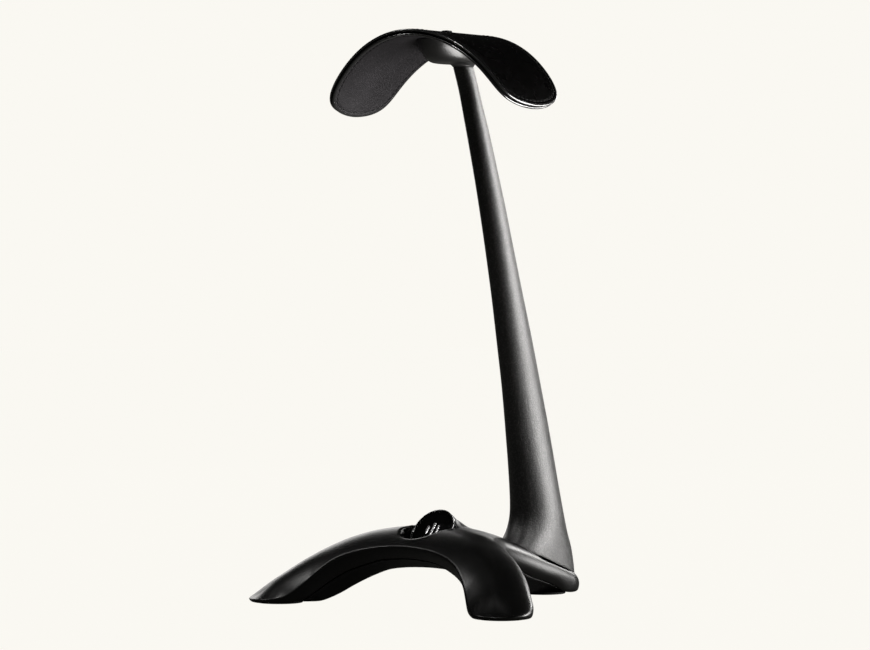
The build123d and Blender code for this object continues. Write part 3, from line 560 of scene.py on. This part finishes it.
MAT = {
    "shell": coated("shell_black", (0.0010, 0.0009, 0.0009), 0.32, 0.00050, 0.000030, 0.75),
    "cover": coated("cover_black", (0.0014, 0.0012, 0.0014), 0.42, 0.00040, 0.000012, 0.45),
    # the mast's lighter flecks are partly painted glints of its grainy coat
    "mast": coated("mast_powder", (0.0110, 0.0108, 0.0108), 0.38, 0.00060, 0.000130, 0.80, fleck_and_glint=0.7),
    "bracket": coated("bracket_black", (0.0090, 0.0088, 0.0088), 0.33, 0.00050, 0.000030, 0.9),
    "rubber": coated("foot_rubber", (0.0090, 0.0090, 0.0090), 0.75, 0.00050, 0.000020, 0.3),
    "gasket": coated("gasket_rubber", (0.0030, 0.0030, 0.0030), 0.85, 0.00050, 0.000020, 0.1),
    "leather_top": leather("leather_top", (0.0004, 0.0004, 0.0004), (0.0010, 0.0009, 0.0009), 0.27, 0.00055,
                           0.000014, 0.0, 0.08),
    "leather_lining": leather("leather_lining", (0.0050, 0.0046, 0.0050), (0.0185, 0.0171, 0.0188), 0.62,
                              0.00075, 0.000130, 0.0, 0.15),
    "edge": coated("edge_paint", (0.0060, 0.0058, 0.0062), 0.24, 0.00080, 0.000006, 1.0),
    "thread": leather("thread_black", (0.006, 0.006, 0.006), (0.016, 0.016, 0.016), 0.6, 0.00018,
                      0.00003, 0.1, 0.1),
    "thread_dark": leather("thread_dark", (0.003, 0.003, 0.003), (0.008, 0.008, 0.008), 0.6, 0.00018,
                           0.00003),
    "gloss": coated("badge_gloss", (0.0008, 0.0008, 0.0008), 0.07, 0.0020, 0.0000005, 0.6),
    "bezel": coated("bezel_gloss", (0.0020, 0.0019, 0.0020), 0.16, 0.0020, 0.0000005, 0.7),
    "emblem": metal("emblem_polished", (0.80, 0.80, 0.82), 0.16),
    "steel": metal("steel_zinc", (0.42, 0.42, 0.43), 0.36),
    "black_zinc": metal("screw_black", (0.10, 0.10, 0.105), 0.40),
    "brass": metal("brass_insert", (0.72, 0.50, 0.22), 0.30),
    "tape": coated("tape_foam", (0.020, 0.020, 0.020), 0.9, 0.0007, 0.00003, 0.2),
}
NODE_MAT = {
    "base_shell": "shell", "base_cover": "cover", "foot_left": "rubber", "foot_right": "rubber",
    "foot_rear": "rubber", "ballast_left": "steel", "ballast_right": "steel", "cover_inserts": "brass",
    "cover_screws": "black_zinc", "mast_screws": "black_zinc", "mast_washers": "steel", "mast": "mast",
    "mast_gasket": "gasket", "saddle_cover": "leather_top", "saddle_plate": "gasket",
    "saddle_lining": "leather_lining", "stitch_top": "thread", "stitch_under": "thread_dark",
    "crown_tab": "leather_top", "saddle_bracket": "bracket", "bracket_screw": "black_zinc",
    "saddle_screws": "black_zinc", "badge_tape": "tape", "badge_bezel": "bezel", "badge_face": "gloss",
    "badge_emblem": "emblem",
}
# the cut edges and the badge ring are varnished
for key in ("edge", "bezel"):
    varnish = MAT[key].node_tree.nodes["Principled BSDF"].inputs
    varnish["Coat Weight"].default_value = 1.0
    varnish["Coat Roughness"].default_value = 0.16
    varnish["Coat IOR"].default_value = 1.9
for node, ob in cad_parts.items():
    mat = MAT[NODE_MAT[node]]
    if not ob.data.materials:
        ob.data.materials.append(mat)
    for s in ob.material_slots:
        s.link = "OBJECT"
        s.material = mat

# ---------------------------------------------------------------- base
grid = 0.6       # mesh spacing in millimetres
pts, quads, nrm = net(shell_field, (-86, -16, -1.2), (86, 149, 50), grid)
base = to_mesh("base_shell_body", pts, quads, [MAT["shell"]], nrm)
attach(base, "root")
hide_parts("base_shell")
pts, quads, nrm = net(cover_field, (-76, 0, -1.2), (76, 126, 25), grid)
cover = to_mesh("base_cover_body", pts, quads, [MAT["cover"]], nrm)
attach(cover, "root")
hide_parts("base_cover")

# ---------------------------------------------------------------- mast
# height, middle in depth, half width, half depth
MAST = [(256.6, 60.5, 4.7, 5.3), (245.9, 64.7, 4.8, 5.1), (236.4, 68.0, 4.9, 5.6),
        (223.1, 72.6, 5.1, 6.3), (203.9, 78.7, 5.35, 7.0), (194.3, 81.7, 5.5, 7.5),
        (174.9, 87.2, 5.85, 8.2), (165.2, 89.9, 6.0, 8.7), (145.7, 95.2, 6.35, 9.8),
        (135.9, 97.8, 6.6, 10.5), (116.2, 102.8, 7.15, 11.7), (106.4, 105.2, 7.4, 12.2),
        (86.6, 109.7, 8.25, 13.4), (76.6, 111.8, 8.7, 14.0), (66.7, 113.8, 9.35, 14.3),
        (56.8, 115.7, 10.1, 14.6), (46.8, 117.5, 10.9, 15.1), (39.8, 118.5, 11.4, 16.0),
        (35.9, 118.7, 11.6, 17.2), (32.9, 118.5, 11.75, 18.5), (29.9, 118.1, 11.9, 20.1),
        (27.0, 117.2, 12.05, 22.2), (24.0, 116.7, 12.1, 24.0), (20.0, 116.7, 12.1, 24.9),
        (14.0, 117.0, 12.1, 25.3), (5.0, 117.4, 12.1, 25.7)]
MAST_TOP = MAST[0][0]
mast_y = table(*[(m[0], m[1]) for m in MAST[::-1]], smooth=2.2)
mast_a = table(*[(m[0], m[2]) for m in MAST[::-1]], smooth=3.0)
mast_b = table(*[(m[0], m[3]) for m in MAST[::-1]], smooth=1.8)


def rings(name, loops, mats):
    """Closed skin over equal rings of points, first and last closed with a fan."""
    n = len(loops[0])
    v = [tuple(p) for loop in loops for p in loop]
    f = []
    for i in range(len(loops) - 1):
        for j in range(n):
            k = (j + 1) % n
            f.append((i * n + j, i * n + k, (i + 1) * n + k, (i + 1) * n + j))
    for at, rev in ((0, True), (len(loops) - 1, False)):
        v.append(tuple(np.mean(loops[at], 0)))
        c = len(v) - 1
        for j in range(n):
            k = (j + 1) % n
            tri = (at * n + j, at * n + k, c)
            f.append(tri[::-1] if rev else tri)
    return mend(to_mesh(name, v, f, mats))


ROUND = np.linspace(0, 2 * np.pi, 96, endpoint=False)
MAST_RINGS = 240
MAST_SINK = 0.35        # the foot stops this far above the seat


def signed_power(v, n):
    """Power that keeps the sign."""
    return np.sign(v) * np.abs(v) ** n


def mast_ring(z, shrink=0.0):
    """One ring of the mast at height z, which may vary round the ring."""
    e = 2.0 / foot_power(z)
    x = (mast_a(z) - shrink) * signed_power(np.cos(ROUND), e)
    y = mast_y(z) + (mast_b(z) - shrink) * signed_power(np.sin(ROUND), e)
    return np.stack([x, y, np.broadcast_to(z, ROUND.shape)], 1)


# rounded top edge, the long skin down to the sloping seat, rounded bottom edge
TOP_EDGE = 0.45
mast_loops = [mast_ring(MAST_TOP, 2.5), mast_ring(MAST_TOP, TOP_EDGE), mast_ring(MAST_TOP - 0.12, 0.13),
              mast_ring(MAST_TOP - TOP_EDGE)]
foot_e = 2.0 / foot_power(12.0)
foot_z = seat_height(FOOT_Y + FOOT_B * signed_power(np.sin(ROUND), foot_e)) + MAST_SINK
for v in np.linspace(0, 1, MAST_RINGS)[1:]:
    mast_loops.append(mast_ring(MAST_TOP - TOP_EDGE + (foot_z - MAST_TOP + TOP_EDGE) * v))
foot_ring = mast_loops[-1]
for drop, shrink in ((0.12, 0.03), (0.24, 0.12), (0.33, 0.35), (0.34, 2.0)):
    low = mast_ring(foot_ring[:, 2], shrink)
    low[:, 2] -= drop
    mast_loops.append(low)
mast = rings("mast_body", mast_loops, [MAT["mast"]])
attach(mast, "root")
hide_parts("mast")

# ---------------------------------------------------------------- saddle sheets
S_R, S_TURN, S_EASE, S_TOP, S_Y = 59.772, math.radians(69.071), 0.1181, 272.246, 44.347
S_MID, S_LOBE, S_LOBE_AT = 27.633, 22.718, 0.9867       # half depth in the middle and at the lobes
TIP_OUTER, TIP_INNER = 14, 1.816                        # roundness of the tips
ARC = S_R * S_TURN
LEATHER, PLATE, GLUE = 1.15, 0.9, 0.04
LINING_DEPTH = LEATHER + PLATE + GLUE
STACK = 2 * LEATHER + PLATE + GLUE
# the bend, integrated along the arc: place u, turning angle, then the curve in x and z
bend_u = np.linspace(-1.1, 1.1, 4401)
bend_m = S_TURN * bend_u - S_EASE * bend_u ** 3
run = 0.5 * (np.cos(bend_m[1:]) + np.cos(bend_m[:-1])) * np.diff(bend_u) * ARC
fall = -0.5 * (np.sin(bend_m[1:]) + np.sin(bend_m[:-1])) * np.diff(bend_u) * ARC
bend_x = np.concatenate([[0], np.cumsum(run)])
bend_z = np.concatenate([[0], np.cumsum(fall)])
bend_x -= np.interp(0, bend_u, bend_x)
bend_z += S_TOP - np.interp(0, bend_u, bend_z)


def bent(s, y, depth):
    """Point of the bent sheet: s along the arc, y across, depth under the top face."""
    u = s / ARC
    m = S_TURN * u - S_EASE * u ** 3
    x = np.interp(u, bend_u, bend_x) - np.sin(m) * depth
    z = np.interp(u, bend_u, bend_z) - np.cos(m) * depth
    return np.stack([x, S_Y + y, z], -1)


def outline(count=480):
    """Saddle outline in the flat (s, y) plane, evenly spaced."""
    q = np.linspace(0, 2 * np.pi, 6000)
    c = np.cos(q)
    u = np.sign(c) * np.abs(c) ** 0.7
    g = step01(np.abs(u) / S_LOBE_AT)
    h = (S_MID + (S_LOBE - S_MID) * g) * np.maximum(1 - np.abs(u) ** TIP_OUTER, 0) ** (1 / TIP_INNER)
    p = np.stack([u * ARC, np.sign(np.sin(q)) * h], 1)
    d = np.concatenate([[0], np.cumsum(np.hypot(*np.diff(p, axis=0).T))])
    t = np.linspace(0, d[-1], count, endpoint=False)
    return np.stack([np.interp(t, d, p[:, 0]), np.interp(t, d, p[:, 1])], 1)


def inset_loop(loop, d):
    """Outline drawn in by d along its own normal."""
    t = np.roll(loop, -1, 0) - np.roll(loop, 1, 0)
    t /= np.linalg.norm(t, axis=1)[:, None]
    nrm2 = np.stack([-t[:, 1], t[:, 0]], 1)
    for _ in range(6):
        nrm2 = (np.roll(nrm2, 1, 0) + nrm2 + np.roll(nrm2, -1, 0)) / 3
    nrm2 /= np.linalg.norm(nrm2, axis=1)[:, None]
    return loop + nrm2 * d


STITCH_IN = 2.6         # stitch line, from the edge of the leather
CORE_STEPS = (0.97, 0.86, 0.7, 0.5, 0.3, 0.12, 0.0)
BORDER_STEPS = (6.0, 5.0, 4.2, 3.6, 3.2, 2.9, STITCH_IN, 2.3, 2.0, 1.6, 1.2)
CORE_IN, CORE_REACH = 7.0, 46


def groove(d):
    """Depth of the stitch channel at d from the edge, with a low ridge outside it."""
    return 0.16 * np.exp(-((d - STITCH_IN) / 0.55) ** 2) - 0.05 * np.exp(-((d - 1.5) / 0.5) ** 2)


def panel(name, depth0, mats, stitch_side):
    """Leather panel with rounded edge, a stitch channel and a smooth inner field."""
    loop = outline()
    n = len(loop)
    ring = []

    def add_border(d_in, depth):
        p = inset_loop(loop, d_in)
        ring.append(bent(p[:, 0], p[:, 1], depth))

    def add_core(t, depth):
        q = inset_loop(loop, CORE_IN)
        core = np.stack([np.clip(q[:, 0], -CORE_REACH, CORE_REACH) * 0.97, np.zeros(n)], 1)
        p = q * (1 - t) + core * t
        ring.append(bent(p[:, 0], p[:, 1], depth))

    r = LEATHER / 2
    mid = depth0 + r
    for t in CORE_STEPS:
        add_core(t, depth0)
    for d in BORDER_STEPS:
        add_border(d, depth0 + (groove(d) if stitch_side == "top" else 0.0))
    start_edge = len(ring)
    for a in np.linspace(0, math.pi, 9):
        add_border(r * 0.9 - r * 0.9 * math.sin(a), mid - r * math.cos(a))
    end_edge = len(ring)
    for d in BORDER_STEPS[::-1]:
        add_border(d, depth0 + LEATHER - (groove(d) if stitch_side == "bottom" else 0.0))
    for t in CORE_STEPS[::-1]:
        add_core(t, depth0 + LEATHER)
    v = [tuple(p) for R in ring for p in R]
    f, ids = [], []
    for i in range(len(ring) - 1):
        for j in range(n):
            k = (j + 1) % n
            f.append((i * n + j, i * n + k, (i + 1) * n + k, (i + 1) * n + j))
            ids.append(1 if start_edge - 1 <= i < end_edge else 0)
    # close the middle: bridge the collapsed inner ring across its centre line
    for at, rev in ((0, True), (len(ring) - 1, False)):
        half = n // 2
        for j in range(half):
            a0, a1 = j, j + 1
            b0, b1 = (n - j) % n, n - j - 1
            quad = [at * n + a0, at * n + a1, at * n + b1, at * n + b0]
            quad = list(dict.fromkeys(quad))
            if len(quad) > 2:
                f.append(tuple(quad[::-1] if rev else quad))
                ids.append(0)
    return mend(to_mesh(name, v, f, mats, ids=ids), merge=1e-6, thin=1e-7)


cover_panel = panel("saddle_cover_leather", 0.0, [MAT["leather_top"], MAT["edge"]], "top")
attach(cover_panel, "root")
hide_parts("saddle_cover")
lining_panel = panel("saddle_lining_leather", LINING_DEPTH, [MAT["leather_lining"], MAT["edge"]], "bottom")
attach(lining_panel, "root")
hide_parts("saddle_lining")


STITCHES, STITCH_FILL = 122, 0.84       # threads round the edge, and the share of the pitch that shows
THREAD_R, THREAD_TWIST = 0.27, 0.13
THREAD_SINK = 0.12


def stitches(name, depth, out, mat):
    """Lock stitches: short twisted threads that dip into the leather at both ends."""
    loop = inset_loop(outline(2400), STITCH_IN)
    closed = np.vstack([loop, loop[:1]])
    d = np.concatenate([[0], np.cumsum(np.hypot(*np.diff(closed, axis=0).T))])
    pitch = d[-1] / STITCHES
    v, f = [], []
    sides, segs = 10, 10
    for i in range(STITCHES):
        mid = (i + 0.5) * pitch
        base_i = len(v)
        for s in range(segs + 1):
            w = s / segs
            at = mid + (w - 0.5) * pitch * STITCH_FILL
            p = np.array([np.interp(at, d, closed[:, 0]), np.interp(at, d, closed[:, 1])])
            q = np.array([np.interp(at + 0.05, d, closed[:, 0]), np.interp(at + 0.05, d, closed[:, 1])])
            t = (q - p) / max(np.linalg.norm(q - p), 1e-9)
            nn = np.array([-t[1], t[0]])
            lift = 0.20 * math.sin(math.pi * w) ** 0.5 - 0.18
            rad = THREAD_R * (0.45 + 0.55 * math.sin(math.pi * min(max(w, 0.03), 0.97)) ** 0.5)
            for k in range(sides):
                a = 2 * math.pi * k / sides
                rr = rad * (1 + THREAD_TWIST * math.cos(3 * a + 5.5 * w * math.pi))
                off = nn * rr * math.cos(a)
                up = lift + rr * math.sin(a)
                v.append(tuple(bent(p[0] + off[0], p[1] + off[1], depth - out * up)))
        for s in range(segs):
            for k in range(sides):
                k2 = (k + 1) % sides
                f.append((base_i + s * sides + k, base_i + s * sides + k2, base_i + (s + 1) * sides + k2,
                          base_i + (s + 1) * sides + k))
        f.append(tuple(base_i + k for k in range(sides))[::-1])
        f.append(tuple(base_i + segs * sides + k for k in range(sides)))
    return mend(to_mesh(name, v, f, [mat]))


st = stitches("stitching_top", THREAD_SINK, 1, MAT["thread"])
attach(st, "root")
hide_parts("stitch_top")
st = stitches("stitching_under", STACK - THREAD_SINK, -1, MAT["thread_dark"])
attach(st, "root")
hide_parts("stitch_under")

# ---------------------------------------------------------------- bracket
# height, middle in depth, half width, half depth
BOWL = [(257.9, 53.4, 8.9, 13.0), (258.5, 53.0, 9.7, 13.9), (259.6, 52.1, 10.6, 15.0),
        (261.2, 51.2, 11.3, 15.8), (264.5, 49.7, 12.4, 16.7), (269.5, 48.5, 13.3, 17.4)]
BOWL_FLOOR = BOWL[0][0]
NECK_A, NECK_B, NECK_TOP = 4.75, 5.35, 261.0
bowl_y = table(*[(b[0], b[1]) for b in BOWL], smooth=0.5)
bowl_a = table(*[(b[0], b[2]) for b in BOWL], smooth=0.5)
bowl_b = table(*[(b[0], b[3]) for b in BOWL], smooth=0.5)
under = bent(np.linspace(0, 40, 401), np.zeros(401), STACK)      # underside of the saddle


def bracket_field(c, x, y, z):
    """Oval bowl with a flat bottom, a filleted neck down to the mast, and the saddle's curve on top."""
    a, b = bowl_a(z), bowl_b(z)
    e = np.sqrt((x / a) ** 2 + ((y - bowl_y(z)) / b) ** 2)
    bowl = smax((e - 1) * np.minimum(a, b) * 0.9, BOWL_FLOOR - z, 0.9)
    ny = 60.45 + 0.40 * (MAST_TOP - z)
    en = np.sqrt((x / NECK_A) ** 2 + ((y - ny) / NECK_B) ** 2)
    neck = smax((en - 1) * 4.9, np.maximum(MAST_TOP + 0.06 - z, z - NECK_TOP), 0.3)
    f = smin(bowl, neck, 2.2)
    return smax(f, z - np.interp(np.abs(x), under[:, 0], under[:, 2]) + 0.03, 0.3)


pts, quads, nrm = net(bracket_field, (-15, 30, 256), (15, 68, 270), 0.45, lambda x, y: {})
bracket = to_mesh("saddle_bracket_body", pts, quads, [MAT["bracket"]], nrm)
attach(bracket, "root")
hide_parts("saddle_bracket")


# ---------------------------------------------------------------- badge
def lathe(name, profile, mats, n=96):
    """Body of revolution about the badge axis; profile is (radius, height above the badge plane)."""
    v, f = [], []
    for r, h in profile:
        for k in range(n):
            a = 2 * math.pi * k / n
            p = BADGE + ACROSS * r * math.cos(a) + UPV * r * math.sin(a) + NRM * h
            v.append(tuple(p))
    m = len(profile)
    for i in range(m - 1):
        for k in range(n):
            k2 = (k + 1) % n
            f.append((i * n + k, i * n + k2, (i + 1) * n + k2, (i + 1) * n + k))
    if profile[0][0] > 1e-6:
        f.append(tuple(range(n))[::-1])
    if profile[-1][0] > 1e-6:
        f.append(tuple((m - 1) * n + k for k in range(n)))
    return mend(to_mesh(name, v, f, mats), merge=1e-7)


RIM = BADGE_R - 0.9
ring_profile = [(RIM - 0.05, -1.4), (RIM, -0.35), (RIM + 0.05, -0.12), (RIM + 0.16, 0.0), (RIM + 0.42, 0.0),
                (RIM + 0.62, -0.1), (RIM + 0.78, -0.32), (BADGE_R - 0.1, -0.6), (BADGE_R - 0.1, -2.4),
                (BADGE_R - 0.2, -2.56), (2.0, -2.58), (1.9, -1.45), (RIM - 0.25, -1.42)]
bezel = lathe("badge_bezel_ring", ring_profile + [ring_profile[0]], [MAT["bezel"]])
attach(bezel, "root")
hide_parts("badge_bezel")
DISC = RIM - 0.12
dome = [(DISC - 0.1, -1.35), (DISC, -0.8), (DISC - 0.08, -0.62), (DISC - 0.4, -0.52)]
DOME_R, DOME_RISE, DOME_FIT = 9.8, 0.18, 10.38      # the dome's own radii are scaled to the disc
for r in (DOME_R, 9.0, 8.0, 6.5, 5.0, 3.0, 1.0, 0.0):
    dome.append((r * DISC / DOME_FIT, -0.5 + DOME_RISE * (1 - (r / DOME_R) ** 2)))
face = lathe("badge_face_disc", dome, [MAT["gloss"]])
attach(face, "root")
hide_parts("badge_face")

# three bars with round ends: place across the badge and length, then the steps of their rounded edge
BARS = ((-2.9, 4.6), (0.0, 8.4), (2.9, 6.2))
BAR_HALF, BAR_POINTS = 0.85, 32
BAR_STEPS = ((0.0, -0.34), (0.0, -0.14), (0.05, -0.07), (0.16, -0.04), (0.5, -0.02))
emblem_v, emblem_f = [], []
for cx, height in BARS:
    tall = height / 2 - BAR_HALF
    first = len(emblem_v)
    for inset, h in BAR_STEPS:
        for k in range(BAR_POINTS):
            a = 2 * math.pi * k / BAR_POINTS
            r = BAR_HALF - inset
            px = cx + r * math.cos(a)
            py = (tall if math.sin(a) > 0 else -tall) + r * math.sin(a)
            emblem_v.append(tuple(BADGE + ACROSS * px + UPV * py + NRM * h))
    for i in range(len(BAR_STEPS) - 1):
        low, high = first + i * BAR_POINTS, first + (i + 1) * BAR_POINTS
        for k in range(BAR_POINTS):
            k2 = (k + 1) % BAR_POINTS
            emblem_f.append((low + k, low + k2, high + k2, high + k))
    emblem_f.append(tuple(first + k for k in range(BAR_POINTS))[::-1])
    emblem_f.append(tuple(high + k for k in range(BAR_POINTS)))
emblem = to_mesh("badge_emblem_bars", emblem_v, emblem_f, [MAT["emblem"]])
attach(emblem, "root")
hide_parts("badge_emblem")

# ---------------------------------------------------------------- crown tab
TAB_Y = 47.9
TAB_A, TAB_B, TAB_R, TAB_N = 2.1, 2.3, 1.2, 64


def tab_loop(shrink, h):
    """Rounded rectangle drawn in by shrink, h above the top leather."""
    out = []
    for k in range(TAB_N):
        a = 2 * math.pi * (k + 0.5) / TAB_N
        r = TAB_R - min(shrink, TAB_R * 0.8)
        cx = math.copysign(TAB_A - shrink - r, math.cos(a))
        cy = math.copysign(TAB_B - shrink - r, math.sin(a))
        s, y = cx + r * math.cos(a), cy + r * math.sin(a)
        out.append(bent(np.array([s]), np.array([TAB_Y - S_Y + y]), -h)[0])
    return np.array(out)


tab_rings = [tab_loop(0.0, 0.02), tab_loop(0.0, 0.55), tab_loop(0.08, 0.78), tab_loop(0.26, 0.94),
             tab_loop(0.6, 1.02), tab_loop(1.0, 1.05), tab_loop(1.7, 1.06)]
tab = rings("crown_tab_leather", tab_rings, [MAT["leather_top"]])
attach(tab, "root")
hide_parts("crown_tab")

# ---------------------------------------------------------------- stage: floor, world, lights, camera
scene = bpy.context.scene
scene.view_settings.view_transform = "Standard"
scene.view_settings.look = "None"
WHITE = (0.956, 0.939, 0.888)
ROOM_LIGHT = 0.011
FLOOR_GLOW = 1.03
FLOOR_COLOUR = (0.16, 0.16, 0.15, 1)
SHADE_SEEN = 0.03       # share of the floor's own shading that the camera sees
world = bpy.data.worlds.new("studio")
scene.world = world
world.use_nodes = True
wt = world.node_tree
bg = wt.nodes["Background"]
bg.inputs[0].default_value = (*WHITE, 1)
ray = wt.nodes.new("ShaderNodeLightPath")
level = wt.nodes.new("ShaderNodeMapRange")
level.inputs["To Min"].default_value = ROOM_LIGHT
level.inputs["To Max"].default_value = 1.0
wt.links.new(ray.outputs["Is Camera Ray"], level.inputs["Value"])
wt.links.new(level.outputs[0], bg.inputs[1])


def floor_material():
    """Pale paper: even white to the eye, an ordinary lit surface for what stands on it."""
    m = bpy.data.materials.new("floor_paper")
    nt = clear_nodes(m)
    out = nt.nodes.new("ShaderNodeOutputMaterial")
    em = nt.nodes.new("ShaderNodeEmission")
    em.inputs[0].default_value = (*WHITE, 1)
    em.inputs[1].default_value = FLOOR_GLOW
    df = nt.nodes.new("ShaderNodeBsdfDiffuse")
    df.inputs[0].default_value = FLOOR_COLOUR
    seen = nt.nodes.new("ShaderNodeMixShader")
    seen.inputs[0].default_value = SHADE_SEEN
    nt.links.new(em.outputs[0], seen.inputs[1])
    nt.links.new(df.outputs[0], seen.inputs[2])
    path = nt.nodes.new("ShaderNodeLightPath")
    mix = nt.nodes.new("ShaderNodeMixShader")
    nt.links.new(path.outputs["Is Camera Ray"], mix.inputs[0])
    nt.links.new(df.outputs[0], mix.inputs[1])
    nt.links.new(seen.outputs[0], mix.inputs[2])
    nt.links.new(mix.outputs[0], out.inputs[0])
    return m


bm = bmesh.new()
bmesh.ops.create_circle(bm, cap_ends=True, radius=8.0, segments=128)
me = bpy.data.meshes.new("floor")
bm.to_mesh(me)
bm.free()
me.materials.append(floor_material())
floor = bpy.data.objects.new("floor", me)
scene.collection.objects.link(floor)


LAMP_COLOUR = (1.0, 0.985, 0.965)
MIDDLE = Vector((0.0, 0.0, 0.13))
AWAY = 1.3


def softbox(name, at, look, size_x, size_y, power):
    """Rectangular area light at one place, turned toward another."""
    d = bpy.data.lights.new(name, "AREA")
    d.shape = "RECTANGLE"
    d.size, d.size_y = size_x, size_y
    d.energy = power
    d.color = LAMP_COLOUR
    ob = bpy.data.objects.new(name, d)
    scene.collection.objects.link(ob)
    ob.location = at
    ob.rotation_euler = (Vector(look) - Vector(at)).to_track_quat("-Z", "Y").to_euler()
    return ob


def aim(name, direction, size_x, size_y, power):
    """Softbox AWAY metres from the middle of the object, in the given direction."""
    at = MIDDLE + Vector(direction).normalized() * AWAY
    return softbox(name, at, MIDDLE, size_x, size_y, power)


def light_only(lamp, *pieces):
    """The lamp reaches these pieces and no others."""
    group = bpy.data.collections.new(lamp.name + "_reach")
    for piece in pieces:
        group.objects.link(piece)
    lamp.light_linking.receiver_collection = group


aim("key_right", (0.79, 0.61, 0.02), 0.30, 0.8, 12.5)
aim("side_right", (0.60, 0.78, 0.14), 0.50, 0.6, 8)
aim("back_right", (0.05, 0.96, 0.28), 0.35, 0.25, 3.0)
aim("front_left", (-0.60, -0.48, 0.64), 0.10, 0.25, 1.2)
aim("front_top", (0.0, -0.50, 0.86), 0.08, 0.08, 2.0)
aim("rear_left", (-0.79, 0.57, 0.26), 0.55, 0.6, 2.2)
aim("rear_low", (-0.44, 0.89, 0.03), 0.5, 0.12, 0.5)
card = softbox("low_right", Vector((0.24, 0.0, 0.03)), Vector((0.0, -0.02, 0.25)), 0.30, 0.30, 3.6)
card.visible_camera = False
light_only(card, bracket, lining_panel, cover_panel)
fill = aim("mast_fill", (0.80, -0.15, 0.58), 0.40, 0.40, 3.2)
light_only(fill, mast)

TARGET = Vector((0.0, -0.02744, 0.13304))
BACK = Vector((0.6312, -0.7756, 0.00766)).normalized()
DISTANCE = 1.6046
cam_data = bpy.data.cameras.new("camera")
cam_data.sensor_width = 36.0
cam_data.lens = 139.85
cam_data.clip_start, cam_data.clip_end = 0.05, 40.0
cam = bpy.data.objects.new("camera", cam_data)
scene.collection.objects.link(cam)
cam.location = TARGET + BACK * DISTANCE
cam.rotation_euler = (-BACK).to_track_quat("-Z", "Y").to_euler()
scene.camera = cam
